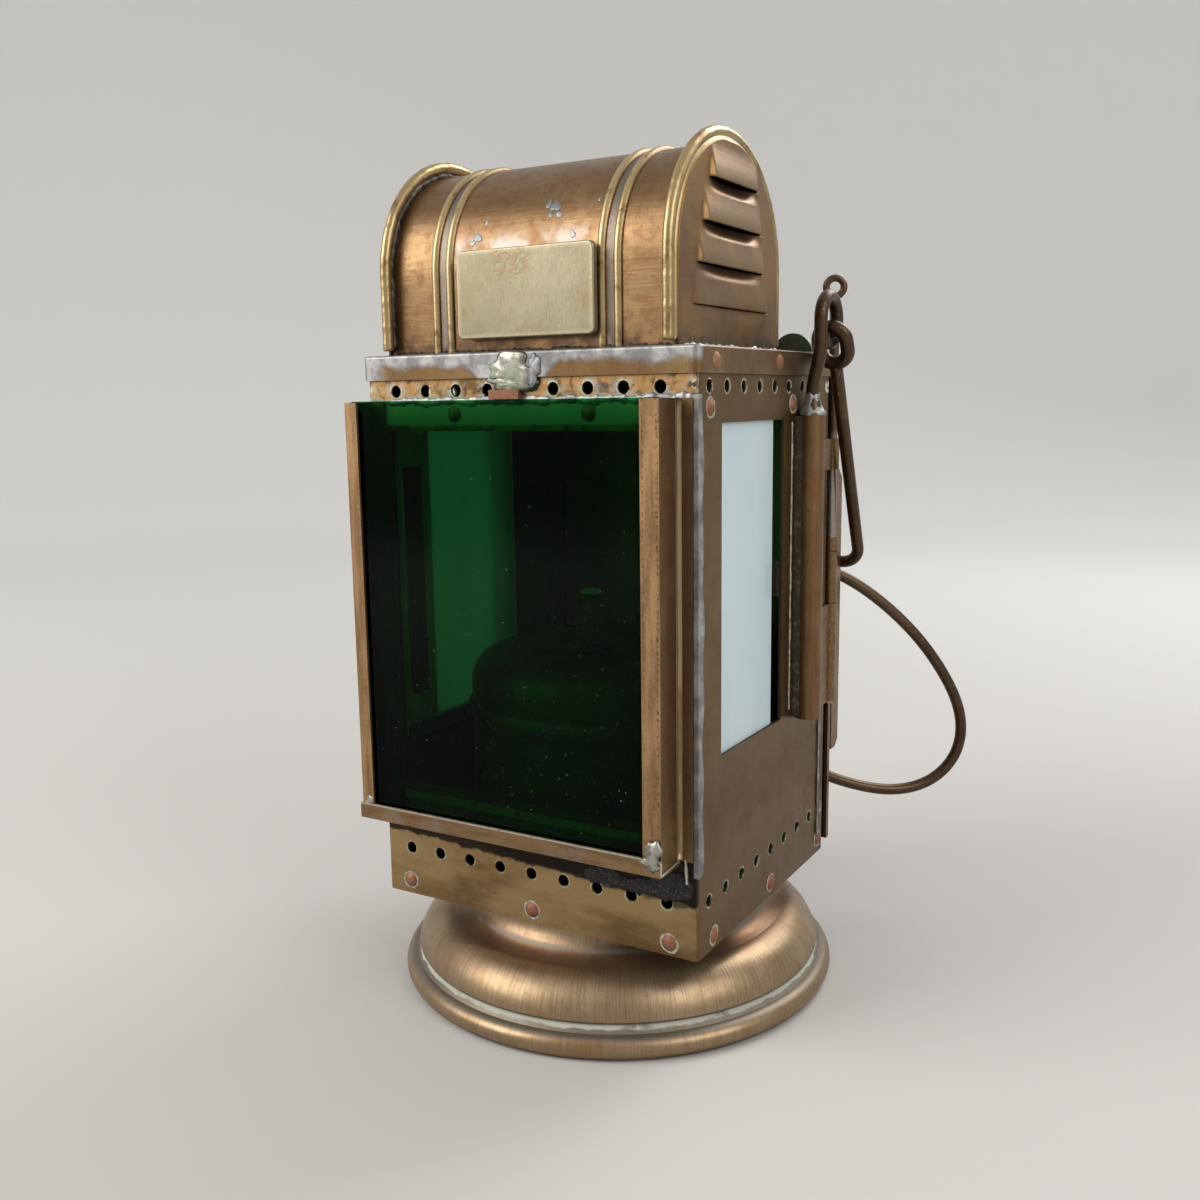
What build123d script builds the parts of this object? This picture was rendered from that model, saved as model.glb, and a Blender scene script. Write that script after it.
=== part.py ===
from build123d import *
import math
import os

# Carbide signal lamp, millimetres. X to the right seen from the front, Y to the
# rear, Z up. The origin is on the table, on the axis of the round foot.

# driving sizes: the round collar of the foot, and the case built round it
COLLAR_R = 52.5
SIDE_ROOM = 7.5
FRONT_ROOM = 3.9
REAR_LAP = 0.5
HALF_W = COLLAR_R + SIDE_ROOM
Y_FRONT = -(COLLAR_R + FRONT_ROOM)
Y_REAR = COLLAR_R - REAR_LAP
Z_FLOOR = 34.2
Z_LID = 217.8
LID_DROP = 7.9
LID_EDGE = Z_LID - LID_DROP
SHEET = 1.2
LID_T = 1.0
LID_OVER = 1.1
VENT_R = 2.0
RIVET_HEAD_R = 2.6
RIVET_SHANK_R = 1.3
RIVET_GAP = 0.02

# foot and gas maker
FOOT_FLARE = 20.9
FOOT_BEAD_R = COLLAR_R + FOOT_FLARE
FOOT_BEAD_T = 4.0
FOOT_WALL = 1.4
TANK_GAP = 0.5
TANK_R = COLLAR_R - FOOT_WALL - TANK_GAP
TANK_WALL = 1.2
POT_GAP = 1.2
POT_R = TANK_R - TANK_WALL - POT_GAP
TANK_TOP = 118.4
TANK_H = 56.4

# case openings
OPEN_EDGE = 9.0
REAR_EDGE = 8.0
WINDOW_R = (Y_FRONT + 16.4, Y_REAR - 43.5)
WINDOW_L = (Y_FRONT + 28.4, Y_REAR - 32.0)
WINDOW_R_Z = (94.5, 195.7)
WINDOW_L_Z = (91.0, 193.0)

# hood
HOOD_RISE = 24.8
HOOD_Z = Z_LID + HOOD_RISE
HOOD_R = 35.5
HOOD_WALL = 1.0
HOOD_INSET = 7.2
HOOD_X = HALF_W - HOOD_INSET
CAP_OVER = 3.3
CAP_R = HOOD_R + CAP_OVER
CAP_BEAD = 1.8
CAP_T = 1.0
HOOD_SET = 0.2
HOOD_Y = Y_FRONT + HOOD_SET + CAP_R

# front glass frame
FRAME_DEPTH = 12.8
FRAME_FRONT = Y_FRONT - FRAME_DEPTH
GLASS_T = 2.6
GLASS_SET = 10.2
GLASS_Y = Y_FRONT - GLASS_SET
FRAME_IN_L = 1.0
FRAME_IN_R = 5.7
FRAME_L = -(HALF_W - FRAME_IN_L)
FRAME_R = HALF_W - FRAME_IN_R
FRAME_Z0 = 66.0
FRAME_DOWN = 6.9
FRAME_Z1 = LID_EDGE - FRAME_DOWN
GUIDE_T = 1.0
LIP_R = 6.1
LIP_L = 4.6

# handles
WIRE_R = 2.2
TUBE_R = 4.3
TUBE_X = HALF_W + TUBE_R
TUBE_Y = Y_REAR - 29.0
TUBE_Z0 = 92.5
TUBE_Z1 = LID_EDGE - 12.4
EYE_OUT = 4.3
EYE_X = TUBE_X + EYE_OUT
EYE_Y = TUBE_Y + 2.8
EYE_Z = Z_LID + 10.2
EYE_R = 7.6

# rear door and its hinge
HINGE_X = HALF_W + 0.2
HINGE_Y = Y_REAR + 3.1
PIN_R = 1.75
KNUCKLE_R = 2.5
DOOR_X = HALF_W - 0.8
DOOR_DEPTH = 9.6
DOOR_FRONT = Y_REAR + 0.4
DOOR_BACK = DOOR_FRONT + DOOR_DEPTH
DOOR_T = 1.2
DOOR_Z0 = Z_FLOOR + 1.3
DOOR_Z1 = LID_EDGE - 0.9
CHANNEL_DEPTH = 7.5
CHANNEL_BACK = DOOR_BACK + CHANNEL_DEPTH
CHANNEL_Z0 = 69.8
CHANNEL_Z1 = 177.2
BAR_Y = CHANNEL_BACK + 2.5
BAR_Z = EYE_Z - 87.0
BAR_X = EYE_X - 2.9
GRIP_X = HALF_W - 14.0
GRIP_Y = CHANNEL_BACK + 2.5
GRIP_R = 2.15
GRIP_TURN = 38.0

os.makedirs("parts", exist_ok=True)
made = {}


def keep(name, shape):
    """Write one piece, or one set of equal pieces, under its own name."""
    solids = shape.solids()
    out = solids[0] if len(solids) == 1 else Compound(children=list(solids))
    out.label = name
    made[name] = out
    export_step(out, "parts/" + name + ".step")


def block(x0, x1, y0, y1, z0, z1):
    """A square block between two corners."""
    b = Box(x1 - x0, y1 - y0, z1 - z0)
    return Pos((x0 + x1) / 2, (y0 + y1) / 2, (z0 + z1) / 2) * b


def rod_x(x0, x1, y, z, r):
    """A round bar along X."""
    return Pos((x0 + x1) / 2, y, z) * Rot(0, 90, 0) * Cylinder(r, x1 - x0)


def rod_y(x, y0, y1, z, r):
    """A round bar along Y."""
    return Pos(x, (y0 + y1) / 2, z) * Rot(90, 0, 0) * Cylinder(r, y1 - y0)


def rod_z(x, y, z0, z1, r):
    """An upright round bar."""
    return Pos(x, y, (z0 + z1) / 2) * Cylinder(r, z1 - z0)


def both(shape):
    """The piece and its mirror image on the left side."""
    return [shape, mirror(shape, about=Plane.YZ)]


def spun(points):
    """A closed outline of (radius, z) corners and arcs, spun about the axis."""
    with BuildSketch(Plane.XZ) as s:
        with BuildLine():
            for kind, *p in points:
                if kind == "line":
                    Line(*p)
                else:
                    ThreePointArc(*p)
        make_face()
    return revolve(s.sketch, axis=Axis.Z)


def bar(p, q, r):
    """A round bar from one point to another."""
    p, q = Vector(p), Vector(q)
    return extrude(Plane(origin=p, z_dir=(q - p)) * Circle(r), amount=(q - p).length)


def bend(p, heading, centre, degrees, r):
    """A round wire from p, leaving along its heading and turning about a centre."""
    p, centre = Vector(p), Vector(centre)
    turn = (p - centre).cross(Vector(heading))
    return revolve(Plane(origin=p, z_dir=heading) * Circle(r), axis=Axis(centre, turn), revolution_arc=degrees)


def bent_wire(points, radii, r):
    """A wire of straight runs and round bends through a row of corners."""
    pts = [Vector(p) for p in points]
    now = pts[0]
    out = None
    for i in range(1, len(pts) - 1):
        back = (pts[i - 1] - pts[i]).normalized()
        ahead = (pts[i + 1] - pts[i]).normalized()
        half = math.radians(back.get_angle(ahead)) / 2
        reach = radii[i - 1] / math.tan(half)
        p = pts[i] + back * reach
        centre = pts[i] + (back + ahead).normalized() * (radii[i - 1] / math.sin(half))
        run = bar(now, p, r)
        out = run if out is None else out + run
        out += bend(p, back * -1, centre, 180 - 2 * math.degrees(half), r)
        now = pts[i] + ahead * reach
    return out + bar(now, pts[-1], r)


# Foot: a spun skirt with a rolled bead on the table, a hollow groove, a round
# shoulder, a creased ring and a collar that runs up under the case.
bead = revolve(Plane.XZ * Pos(FOOT_BEAD_R, FOOT_BEAD_T - 0.15) * Circle(FOOT_BEAD_T), axis=Axis.Z)
bead -= block(-90.0, 90.0, -90.0, 90.0, -5.0, 0.0)
skirt = spun([
    ("line", (FOOT_BEAD_R + 1.4, 6.6), (FOOT_BEAD_R - 0.8, 8.6)),
    ("arc", (FOOT_BEAD_R - 0.8, 8.6), (FOOT_BEAD_R - 1.5, 9.9), (FOOT_BEAD_R - 0.9, 11.2)),
    ("arc", (FOOT_BEAD_R - 0.9, 11.2), (FOOT_BEAD_R - 3.5, 17.6), (COLLAR_R + 7.8, 23.6)),
    ("arc", (COLLAR_R + 7.8, 23.6), (COLLAR_R + 2.1, 27.4), (COLLAR_R, Z_FLOOR)),
    ("line", (COLLAR_R, Z_FLOOR), (COLLAR_R - FOOT_WALL, Z_FLOOR)),
    ("arc", (COLLAR_R - FOOT_WALL, Z_FLOOR), (COLLAR_R + 0.9, 26.6), (COLLAR_R + 7.2, 22.3)),
    ("arc", (COLLAR_R + 7.2, 22.3), (FOOT_BEAD_R - 4.8, 16.9), (FOOT_BEAD_R - 2.3, 11.0)),
    ("arc", (FOOT_BEAD_R - 2.3, 11.0), (FOOT_BEAD_R - 2.9, 9.7), (FOOT_BEAD_R - 2.7, 8.2)),
    ("line", (FOOT_BEAD_R - 2.7, 8.2), (FOOT_BEAD_R - 2.0, 6.4)),
    ("line", (FOOT_BEAD_R - 2.0, 6.4), (FOOT_BEAD_R + 1.4, 6.6)),
])
keep("foot_shell", bead + skirt)
FOOT_FLOOR = 1.2
keep("foot_bottom", rod_z(0, 0, 0.0, FOOT_FLOOR, FOOT_BEAD_R - 3.1))

# Carbide pot: a drawn cup with a rolled lip, standing on the bottom of the foot.
POT_TOP = TANK_TOP - 34.4
POT_WALL = 1.2
pot = rod_z(0, 0, FOOT_FLOOR, POT_TOP, POT_R)
pot -= rod_z(0, 0, FOOT_FLOOR + POT_WALL, POT_TOP + 1, POT_R - POT_WALL)
pot_lip = revolve(Plane.XZ * Pos(POT_R, POT_TOP) * Circle(1.2), axis=Axis.Z)
keep("carbide_pot", pot + pot_lip)

# Water tank: a spun bell over the pot, with a rim bead and a round shoulder.
TANK_IN = TANK_R - TANK_WALL
tank_foot = TANK_TOP - TANK_H
bead_z = TANK_TOP - 21.4
shoulder = TANK_TOP - 12.4
tank = spun([
    ("line", (TANK_IN, tank_foot), (TANK_R, tank_foot)),
    ("line", (TANK_R, tank_foot), (TANK_R, bead_z - 3.4)),
    ("arc", (TANK_R, bead_z - 3.4), (TANK_R + 1.3, bead_z), (TANK_R, bead_z + 3.4)),
    ("line", (TANK_R, bead_z + 3.4), (TANK_R, shoulder)),
    ("arc", (TANK_R, shoulder), (TANK_R - 3.0, TANK_TOP - 5.0), (TANK_R - 10.6, TANK_TOP - 1.8)),
    ("line", (TANK_R - 10.6, TANK_TOP - 1.8), (24.0, TANK_TOP - 1.0)),
    ("arc", (24.0, TANK_TOP - 1.0), (22.6, TANK_TOP - 0.4), (21.6, TANK_TOP)),
    ("line", (21.6, TANK_TOP), (0, TANK_TOP)),
    ("line", (0, TANK_TOP), (0, TANK_TOP - 1.2)),
    ("line", (0, TANK_TOP - 1.2), (21.4, TANK_TOP - 1.2)),
    ("line", (21.4, TANK_TOP - 1.2), (TANK_R - 10.8, TANK_TOP - 3.0)),
    ("arc", (TANK_R - 10.8, TANK_TOP - 3.0), (TANK_R - 3.8, TANK_TOP - 6.0), (TANK_IN, shoulder)),
    ("line", (TANK_IN, shoulder), (TANK_IN, tank_foot)),
])
cap_y = 20.0
CAP_BORE = 7.0
tank = tank - rod_z(0, cap_y, TANK_TOP - 2.4, TANK_TOP + 1.6, CAP_BORE)
keep("water_tank", tank)
SEAL_Z = TANK_TOP - 40.4
SEAL_H = 3.0
seal = rod_z(0, 0, SEAL_Z, SEAL_Z + SEAL_H, TANK_IN - 0.02)
keep("pot_gasket", seal - rod_z(0, 0, SEAL_Z - 1, SEAL_Z + SEAL_H + 1, POT_R + 0.02))
cap = rod_z(0, cap_y, TANK_TOP, TANK_TOP + 3.2, CAP_BORE + 2.0)
cap += rod_z(0, cap_y, TANK_TOP - 4.4, TANK_TOP + 0.6, CAP_BORE - 0.1)
cap = chamfer(cap.edges().group_by(Axis.Z)[-1], 0.8)
keep("filler_cap", cap)

# Burner: a brass tube on the tank with a white steatite tip set into its top.
BURNER_Y = -15.6
BURNER_R = 5.25
BURNER_BORE = 3.4
BURNER_TOP = TANK_TOP + 19.4
TIP_Z = TANK_TOP + 7.6
seat = rod_z(0, BURNER_Y, TANK_TOP, TANK_TOP + 1.4, BURNER_R + 2.35)
tube = rod_z(0, BURNER_Y, TANK_TOP, BURNER_TOP, BURNER_R)
burner = seat + tube - rod_z(0, BURNER_Y, TANK_TOP + 1.2, BURNER_TOP + 0.2, BURNER_BORE)
keep("burner_tube", burner)
tip = rod_z(0, BURNER_Y, TIP_Z, BURNER_TOP + 1.2, BURNER_BORE - 0.02)
tip = tip - rod_z(0, BURNER_Y, TIP_Z - 1, BURNER_TOP - 1.8, 0.8)
tip = tip - block(-4, 4, BURNER_Y - 0.4, BURNER_Y + 0.4, BURNER_TOP - 0.4, BURNER_TOP + 2.2)
keep("burner_tip", tip)
stop = rod_z(0, BURNER_Y, TANK_TOP + 1.2, TIP_Z, BURNER_BORE - 0.02)
stop -= rod_z(0, BURNER_Y, TANK_TOP + 0.6, TIP_Z + 1, 1.2)
keep("burner_core", stop)

# Case: one folded sheet, open at the rear, with the front opening, a side window
# on each side and a row of air holes above and below.
outer = block(-HALF_W, HALF_W, Y_FRONT, Y_REAR, Z_FLOOR, Z_LID - LID_T)
outer = fillet(outer.edges().filter_by(Axis.Z), 1.6)
inner = block(-HALF_W + SHEET, HALF_W - SHEET, Y_FRONT + SHEET, Y_REAR - SHEET, Z_FLOOR - 1, Z_LID)
inner = fillet(inner.edges().filter_by(Axis.Z), 0.5)
case = outer - inner
OPEN_X = HALF_W - OPEN_EDGE
REAR_X = HALF_W - REAR_EDGE
IN_WALL = HALF_W - SHEET - 0.8
OUT_WALL = HALF_W + 1.0
VENT_LOW = Z_FLOOR + 16.8
VENT_HIGH = LID_EDGE - 3.6
case -= block(-OPEN_X, OPEN_X, Y_FRONT - 1, Y_FRONT + SHEET + 0.8, FRAME_Z0 + 9.0, LID_EDGE - 16.2)
case -= block(IN_WALL - 1, OUT_WALL, *WINDOW_R, *WINDOW_R_Z)
case -= block(-OUT_WALL, 1 - IN_WALL, *WINDOW_L, *WINDOW_L_Z)
case -= block(-REAR_X, REAR_X, Y_REAR - SHEET - 0.8, Y_REAR + 1, Z_FLOOR + 9.8, LID_EDGE - 6.9)
FRONT_LOW = [12.36 * k for k in range(-4, 5)]
FRONT_HIGH = [12.06 * k for k in (-4, -3, -2, -1, 1, 2, 3, 4)]
SIDE_ROW = [Y_FRONT + 7.9 + 12.26 * k for k in range(8)]
for x in FRONT_LOW:
    case -= rod_y(x, Y_FRONT - 1, Y_FRONT + SHEET + 0.8, VENT_LOW, VENT_R)
for x in FRONT_HIGH:
    case -= rod_y(x, Y_FRONT - 1, Y_FRONT + SHEET + 0.8, VENT_HIGH, VENT_R)
for y in SIDE_ROW:
    for z in (VENT_LOW, VENT_HIGH):
        case -= rod_x(-OUT_WALL, -IN_WALL, y, z, VENT_R)
        case -= rod_x(IN_WALL, OUT_WALL, y, z, VENT_R)

# Rivet rows: copper rivets along the foot of the case and under the lid.
hole_r = RIVET_SHANK_R + RIVET_GAP
RIVET_X = HALF_W - 9.7
FRONT_RIVETS = [(-RIVET_X, Z_FLOOR + 4.8), (0.0, Z_FLOOR + 4.2), (RIVET_X, Z_FLOOR + 4.0),
                (-24.6, LID_EDGE - 10.9), (24.6, LID_EDGE - 10.9)]
SIDE_RIVETS = [(Y_FRONT + 11.3, Z_FLOOR + 4.2), (0.5, Z_FLOOR + 4.6), (Y_REAR - 6.0, Z_FLOOR + 5.4),
               (Y_FRONT + 8.4, LID_EDGE - 9.7), (Y_REAR - 35.7, LID_EDGE - 9.3)]
for x, z in FRONT_RIVETS:
    case -= rod_y(x, Y_FRONT - 1, Y_FRONT + SHEET + 0.8, z, hole_r)
for y, z in SIDE_RIVETS:
    case -= rod_x(-OUT_WALL, -IN_WALL, y, z, hole_r)
    case -= rod_x(IN_WALL, OUT_WALL, y, z, hole_r)
keep("case_shell", case)

# Floor: a square pan inside the foot of the case, riveted through its turned-up
# edge, with a round opening that sits on the collar of the foot.
FX = HALF_W - SHEET
FY0 = Y_FRONT + SHEET
FY1 = Y_REAR - SHEET
PAN_T = 1.0
PAN_TOP = Z_FLOOR + 9.2
floor = block(-FX, FX, FY0, FY1, Z_FLOOR, PAN_TOP)
floor = fillet(floor.edges().filter_by(Axis.Z), 0.5)
floor -= block(-FX + PAN_T, FX - PAN_T, FY0 + PAN_T, FY1 - PAN_T, Z_FLOOR + PAN_T, PAN_TOP + 0.6)
floor -= rod_z(0, 0, Z_FLOOR - 1, Z_FLOOR + PAN_T + 1, COLLAR_R - FOOT_WALL)
floor -= block(-FX, FX, FY1 - 3.0, FY1 + 1, Z_FLOOR + PAN_T, PAN_TOP + 0.6)
for x, z in FRONT_RIVETS[:3]:
    floor -= rod_y(x, FY0 - 1, FY0 + PAN_T + 1, z, hole_r)
for y, z in SIDE_RIVETS[:3]:
    floor -= rod_x(-FX - 1, -FX + PAN_T + 1, y, z, hole_r)
    floor -= rod_x(FX - PAN_T - 1, FX + 1, y, z, hole_r)
keep("floor_pan", floor)

# Top frame: an angle strip inside the upper edge of the case, under the lid.
TOP_T = 0.8
TOP_Z0 = LID_EDGE - 13.5
TOP_Z1 = LID_EDGE - 5.9
top = block(-FX, FX, FY0, FY1, TOP_Z0, TOP_Z1)
top = fillet(top.edges().filter_by(Axis.Z), 0.5)
top -= block(-FX + TOP_T, FX - TOP_T, FY0 + TOP_T, FY1 - TOP_T, TOP_Z0 - 0.4, TOP_Z1 + 1)
top -= block(-OPEN_X, OPEN_X, FY0 - 1, FY0 + 2, TOP_Z0 - 6.4, TOP_Z0 + 0.2)
for x, z in FRONT_RIVETS[3:]:
    top -= rod_y(x, FY0 - 1, FY0 + 2, z, hole_r)
for y, z in SIDE_RIVETS[3:]:
    top -= rod_x(-FX - 1, -FX + 2, y, z, hole_r)
    top -= rod_x(FX - 2, FX + 1, y, z, hole_r)
top -= block(-REAR_X, REAR_X, FY1 - 2, FY1 + 1, TOP_Z0 - 0.4, TOP_Z1 + 1)
keep("top_frame", top)


def rivet(grip):
    """A copper rivet with its head up at z 0 and its shank down through the grip."""
    h = 1.1
    rs = (RIVET_HEAD_R ** 2 + h ** 2) / (2 * h)
    dome = Pos(0, 0, h - rs) * Sphere(rs) & Pos(0, 0, h / 2) * Box(8, 8, h)
    shank = Pos(0, 0, -grip / 2) * Cylinder(RIVET_SHANK_R, grip)
    tail = Pos(0, 0, -grip - 0.35) * Cylinder(2.0, 0.7)
    return dome + shank + tail


low_grip = SHEET + PAN_T
high_grip = SHEET + TOP_T
front_set = []
for n, (x, z) in enumerate(FRONT_RIVETS):
    g = low_grip if n < 3 else high_grip
    front_set.append(Pos(x, Y_FRONT, z) * Rot(90, 0, 0) * rivet(g))
keep("rivets_front", Compound(children=front_set))
right_set = []
left_set = []
for n, (y, z) in enumerate(SIDE_RIVETS):
    g = low_grip if n < 3 else high_grip
    right_set.append(Pos(HALF_W, y, z) * Rot(0, 90, 0) * rivet(g))
    left_set.append(Pos(-HALF_W, y, z) * Rot(0, -90, 0) * rivet(g))
keep("rivets_right", Compound(children=right_set))
keep("rivets_left", Compound(children=left_set))

# Lid: a shallow turned-down cover with a hole under the hood for the hot air.
LX = HALF_W + LID_OVER
LY0 = Y_FRONT - LID_OVER
LY1 = Y_REAR + LID_OVER - 0.1
lid = block(-LX, LX, LY0, LY1, LID_EDGE, Z_LID)
lid = fillet(lid.edges().filter_by(Axis.Z), 2.2)
lid = fillet(lid.faces().sort_by(Axis.Z)[-1].edges(), 0.9)
lid_in = block(-LX + LID_T, LX - LID_T, LY0 + LID_T, LY1 - LID_T, LID_EDGE - 1, Z_LID - LID_T)
lid_in = fillet(lid_in.edges().filter_by(Axis.Z), 1.2)
lid -= lid_in
HOLE_X = HOOD_X - 5.8
HOLE_Y = HOOD_R - 5.5
lid -= block(-HOLE_X, HOLE_X, HOOD_Y - HOLE_Y, HOOD_Y + HOLE_Y, Z_LID - LID_T - 2, Z_LID + 1)
LID_RIVETS = [(Y_FRONT + 10.2, Z_LID - 4.4), (Y_REAR - 50.4, Z_LID - 4.0)]
for y, z in LID_RIVETS:
    lid -= rod_x(-LX - 1, -LX + 2, y, z, hole_r)
    lid -= rod_x(LX - 2, LX + 1, y, z, hole_r)
keep("lid", lid)
lid_set = []
for y, z in LID_RIVETS:
    lid_set.append(Pos(LX, y, z) * Rot(0, 90, 0) * (rivet(LID_T) & Box(20, 20, 2 * LID_T)))
    lid_set.append(Pos(-LX, y, z) * Rot(0, -90, 0) * (rivet(LID_T) & Box(20, 20, 2 * LID_T)))
keep("rivets_lid", Compound(children=lid_set))


def arch(r, z0, x0, x1):
    """A round-topped block along X, of half-width r, standing on z0."""
    straight = block(x0, x1, HOOD_Y - r, HOOD_Y + r, z0, HOOD_Z)
    round_top = rod_x(x0, x1, HOOD_Y, HOOD_Z, r)
    return straight + (round_top & block(x0 - 1, x1 + 1, HOOD_Y - r - 1, HOOD_Y + r + 1, HOOD_Z, HOOD_Z + r + 1))


def arch_bead(x, r, t, z0):
    """A round bead bent along the arch at one x."""
    ring = Pos(x, HOOD_Y - r, HOOD_Z) * Circle(t)
    top = revolve(ring, axis=Axis((0, HOOD_Y, HOOD_Z), (-1, 0, 0)), revolution_arc=180)
    if top.bounding_box().max.Z < HOOD_Z + r / 2:
        top = revolve(ring, axis=Axis((0, HOOD_Y, HOOD_Z), (1, 0, 0)), revolution_arc=180)
    legs = rod_z(x, HOOD_Y - r, z0, HOOD_Z, t) + rod_z(x, HOOD_Y + r, z0, HOOD_Z, t)
    return top + legs


# Hood: a sheet bent over in an arch, stiffened by two pairs of rolled ribs.
SKIN_X = HOOD_X - CAP_T
skin = arch(HOOD_R, Z_LID, -SKIN_X, SKIN_X)
RIB_R = 1.5
for x in (-33.0, -27.5, 27.5, 33.0):
    skin += arch_bead(x, HOOD_R - 0.3, RIB_R, Z_LID)
skin -= arch(HOOD_R - HOOD_WALL, Z_LID - 1, -SKIN_X - 1, SKIN_X + 1)
keep("hood_skin", skin)


def lip_arcs(y0, y1, bulge):
    """The middle, the sheet's two bending radii and how far its inner side reaches."""
    half = (y1 - y0) / 2
    radius = (half * half + bulge * bulge) / (2 * bulge)
    inner = radius - 0.8
    sunk = radius - bulge
    end = math.sqrt(inner ** 2 - (sunk + 0.2) ** 2)
    return (y0 + y1) / 2, radius, inner, sunk, end


def louvre(y0, y1, z, bulge):
    """A lip pressed out of the end sheet over a slit: a bowed strip turned a quarter round."""
    mid, radius, inner, sunk, end = lip_arcs(y0, y1, bulge)
    high = math.sqrt(radius ** 2 - end ** 2) - sunk
    with BuildSketch(Plane.YZ.offset(HOOD_X)) as s:
        with BuildLine():
            ThreePointArc((mid - end, z + high), (mid, z + bulge), (mid + end, z + high))
            Line((mid + end, z + high), (mid + end, z + 0.2))
            ThreePointArc((mid + end, z + 0.2), (mid, z + bulge - 0.8), (mid - end, z + 0.2))
            Line((mid - end, z + 0.2), (mid - end, z + high))
        make_face()
    turned = revolve(s.sketch, axis=Axis((HOOD_X, mid, z), (0, 1, 0)), revolution_arc=90)
    return turned + extrude(s.sketch, amount=-0.6)


def louvre_cut(y0, y1, z, bulge):
    """The slit that a lip stands over."""
    mid, radius, inner, sunk, end = lip_arcs(y0, y1, bulge)
    with BuildSketch(Plane.YZ.offset(HOOD_X - 3)) as s:
        with BuildLine():
            ThreePointArc((mid - end, z + 0.2), (mid, z + bulge - 0.8), (mid + end, z + 0.2))
            Line((mid + end, z + 0.2), (mid + end, z - 0.8))
            Line((mid + end, z - 0.8), (mid - end, z - 0.8))
            Line((mid - end, z - 0.8), (mid - end, z + 0.2))
        make_face()
    return extrude(s.sketch, amount=4.5)


# Hood ends: each a flat arch with a rolled rim, four slits and their pressed lips.
LOUVRES = [
    (HOOD_Y - 16.4, HOOD_Y + 19.1, HOOD_Z + 24.3, 3.6),
    (HOOD_Y - 21.1, HOOD_Y + 21.8, HOOD_Z + 11.4, 3.8),
    (HOOD_Y - 25.1, HOOD_Y + 24.5, HOOD_Z - 0.6, 3.6),
    (HOOD_Y - 28.4, HOOD_Y + 28.1, HOOD_Z - 12.5, 2.2),
]
end = arch(CAP_R - 0.2, Z_LID, HOOD_X - CAP_T, HOOD_X)
end += arch_bead(HOOD_X - CAP_BEAD, CAP_R, CAP_BEAD, Z_LID + 1.5)
for row in LOUVRES:
    end -= louvre_cut(*row)
for row in LOUVRES:
    end += louvre(*row)
right_end, left_end = both(end)
keep("hood_end_right", right_end)
keep("hood_end_left", left_end)

# Bare plate on the front of the hood, on a folded strip behind it.
PLATE_BACK = HOOD_Y - HOOD_R - 2.1
PLATE_T = 2.0
plate = block(-22.2, 27.1, PLATE_BACK - PLATE_T, PLATE_BACK, Z_LID + 4.0, Z_LID + 30.5)
plate = fillet(plate.edges().filter_by(Axis.Y), 2.0)
plate = fillet(plate.faces().sort_by(Axis.Y)[0].edges(), 0.5)
keep("bare_plate", plate)
keep("plate_strip", block(-17.0, 22.0, PLATE_BACK, HOOD_Y - HOOD_R, Z_LID + 6.2, Z_LID + 22.2))

# Half-round lug standing on the lid behind the hood.
LUG_X = HALF_W - 12.5
LUG_Y = LY1 - 3.6
LUG_R = 7.4
lug = rod_y(LUG_X, LUG_Y - 2.4, LUG_Y, Z_LID, LUG_R) & block(LUG_X - 10, LUG_X + 10, LUG_Y - 9, LUG_Y + 9, Z_LID, Z_LID + 20)
foot = block(LUG_X - LUG_R + 0.1, LUG_X + LUG_R - 0.1, LUG_Y - LUG_R, LUG_Y, Z_LID, Z_LID + 1.0)
keep("rear_lug", lug + foot)

# Front glass frame: two upright channels and a trough below, soldered to the case.
BACK = Y_FRONT
FLANGE_R = HALF_W - 1.1


def guide_right():
    """The right channel: lip, side wall and rear flange."""
    lip = block(FRAME_R - LIP_R, FRAME_R, FRAME_FRONT, FRAME_FRONT + GUIDE_T, FRAME_Z0, FRAME_Z1)
    wall = block(FRAME_R - GUIDE_T, FRAME_R, FRAME_FRONT, BACK, FRAME_Z0, FRAME_Z1)
    flange = block(FRAME_R - GUIDE_T, FLANGE_R, BACK - GUIDE_T, BACK, FRAME_Z0, FRAME_Z1)
    return lip + wall + flange


def guide_left():
    """The left channel, with its flange turned inward behind the glass."""
    lip = block(FRAME_L, FRAME_L + LIP_L, FRAME_FRONT, FRAME_FRONT + GUIDE_T, FRAME_Z0, FRAME_Z1)
    wall = block(FRAME_L, FRAME_L + GUIDE_T, FRAME_FRONT, BACK, FRAME_Z0, FRAME_Z1)
    flange = block(FRAME_L, FRAME_L + LIP_L + 1.8, BACK - GUIDE_T, BACK, FRAME_Z0, FRAME_Z1)
    return lip + wall + flange


keep("glass_guide_right", guide_right())
keep("glass_guide_left", guide_left())
TROUGH_Z = FRAME_Z0 - 1.3
trough = block(FRAME_L - 0.5, FRAME_R + 0.2, FRAME_FRONT, BACK, TROUGH_Z, FRAME_Z0)
trough += block(FRAME_L - 0.5, FRAME_R + 0.2, FRAME_FRONT - 0.8, FRAME_FRONT, TROUGH_Z, FRAME_Z0 + 3.9)
trough += block(-OPEN_X + 1, OPEN_X - 1, BACK - GUIDE_T, BACK, TROUGH_Z, FRAME_Z0 + 6.0)
keep("glass_trough", trough)

# Strips that part the glass channel into two slots.
SLOT_Y = GLASS_Y + GLASS_T / 2 + 0.4
SLOT_T = 0.8
keep("slot_strip_left", block(FRAME_L + GUIDE_T, FRAME_L + LIP_L - 0.2, SLOT_Y, SLOT_Y + SLOT_T, FRAME_Z0, FRAME_Z1 - 3))
keep("slot_strip_right", block(FRAME_R - LIP_R + 0.8, FRAME_R - GUIDE_T, SLOT_Y, SLOT_Y + SLOT_T, FRAME_Z0, FRAME_Z1 - 3))

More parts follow.
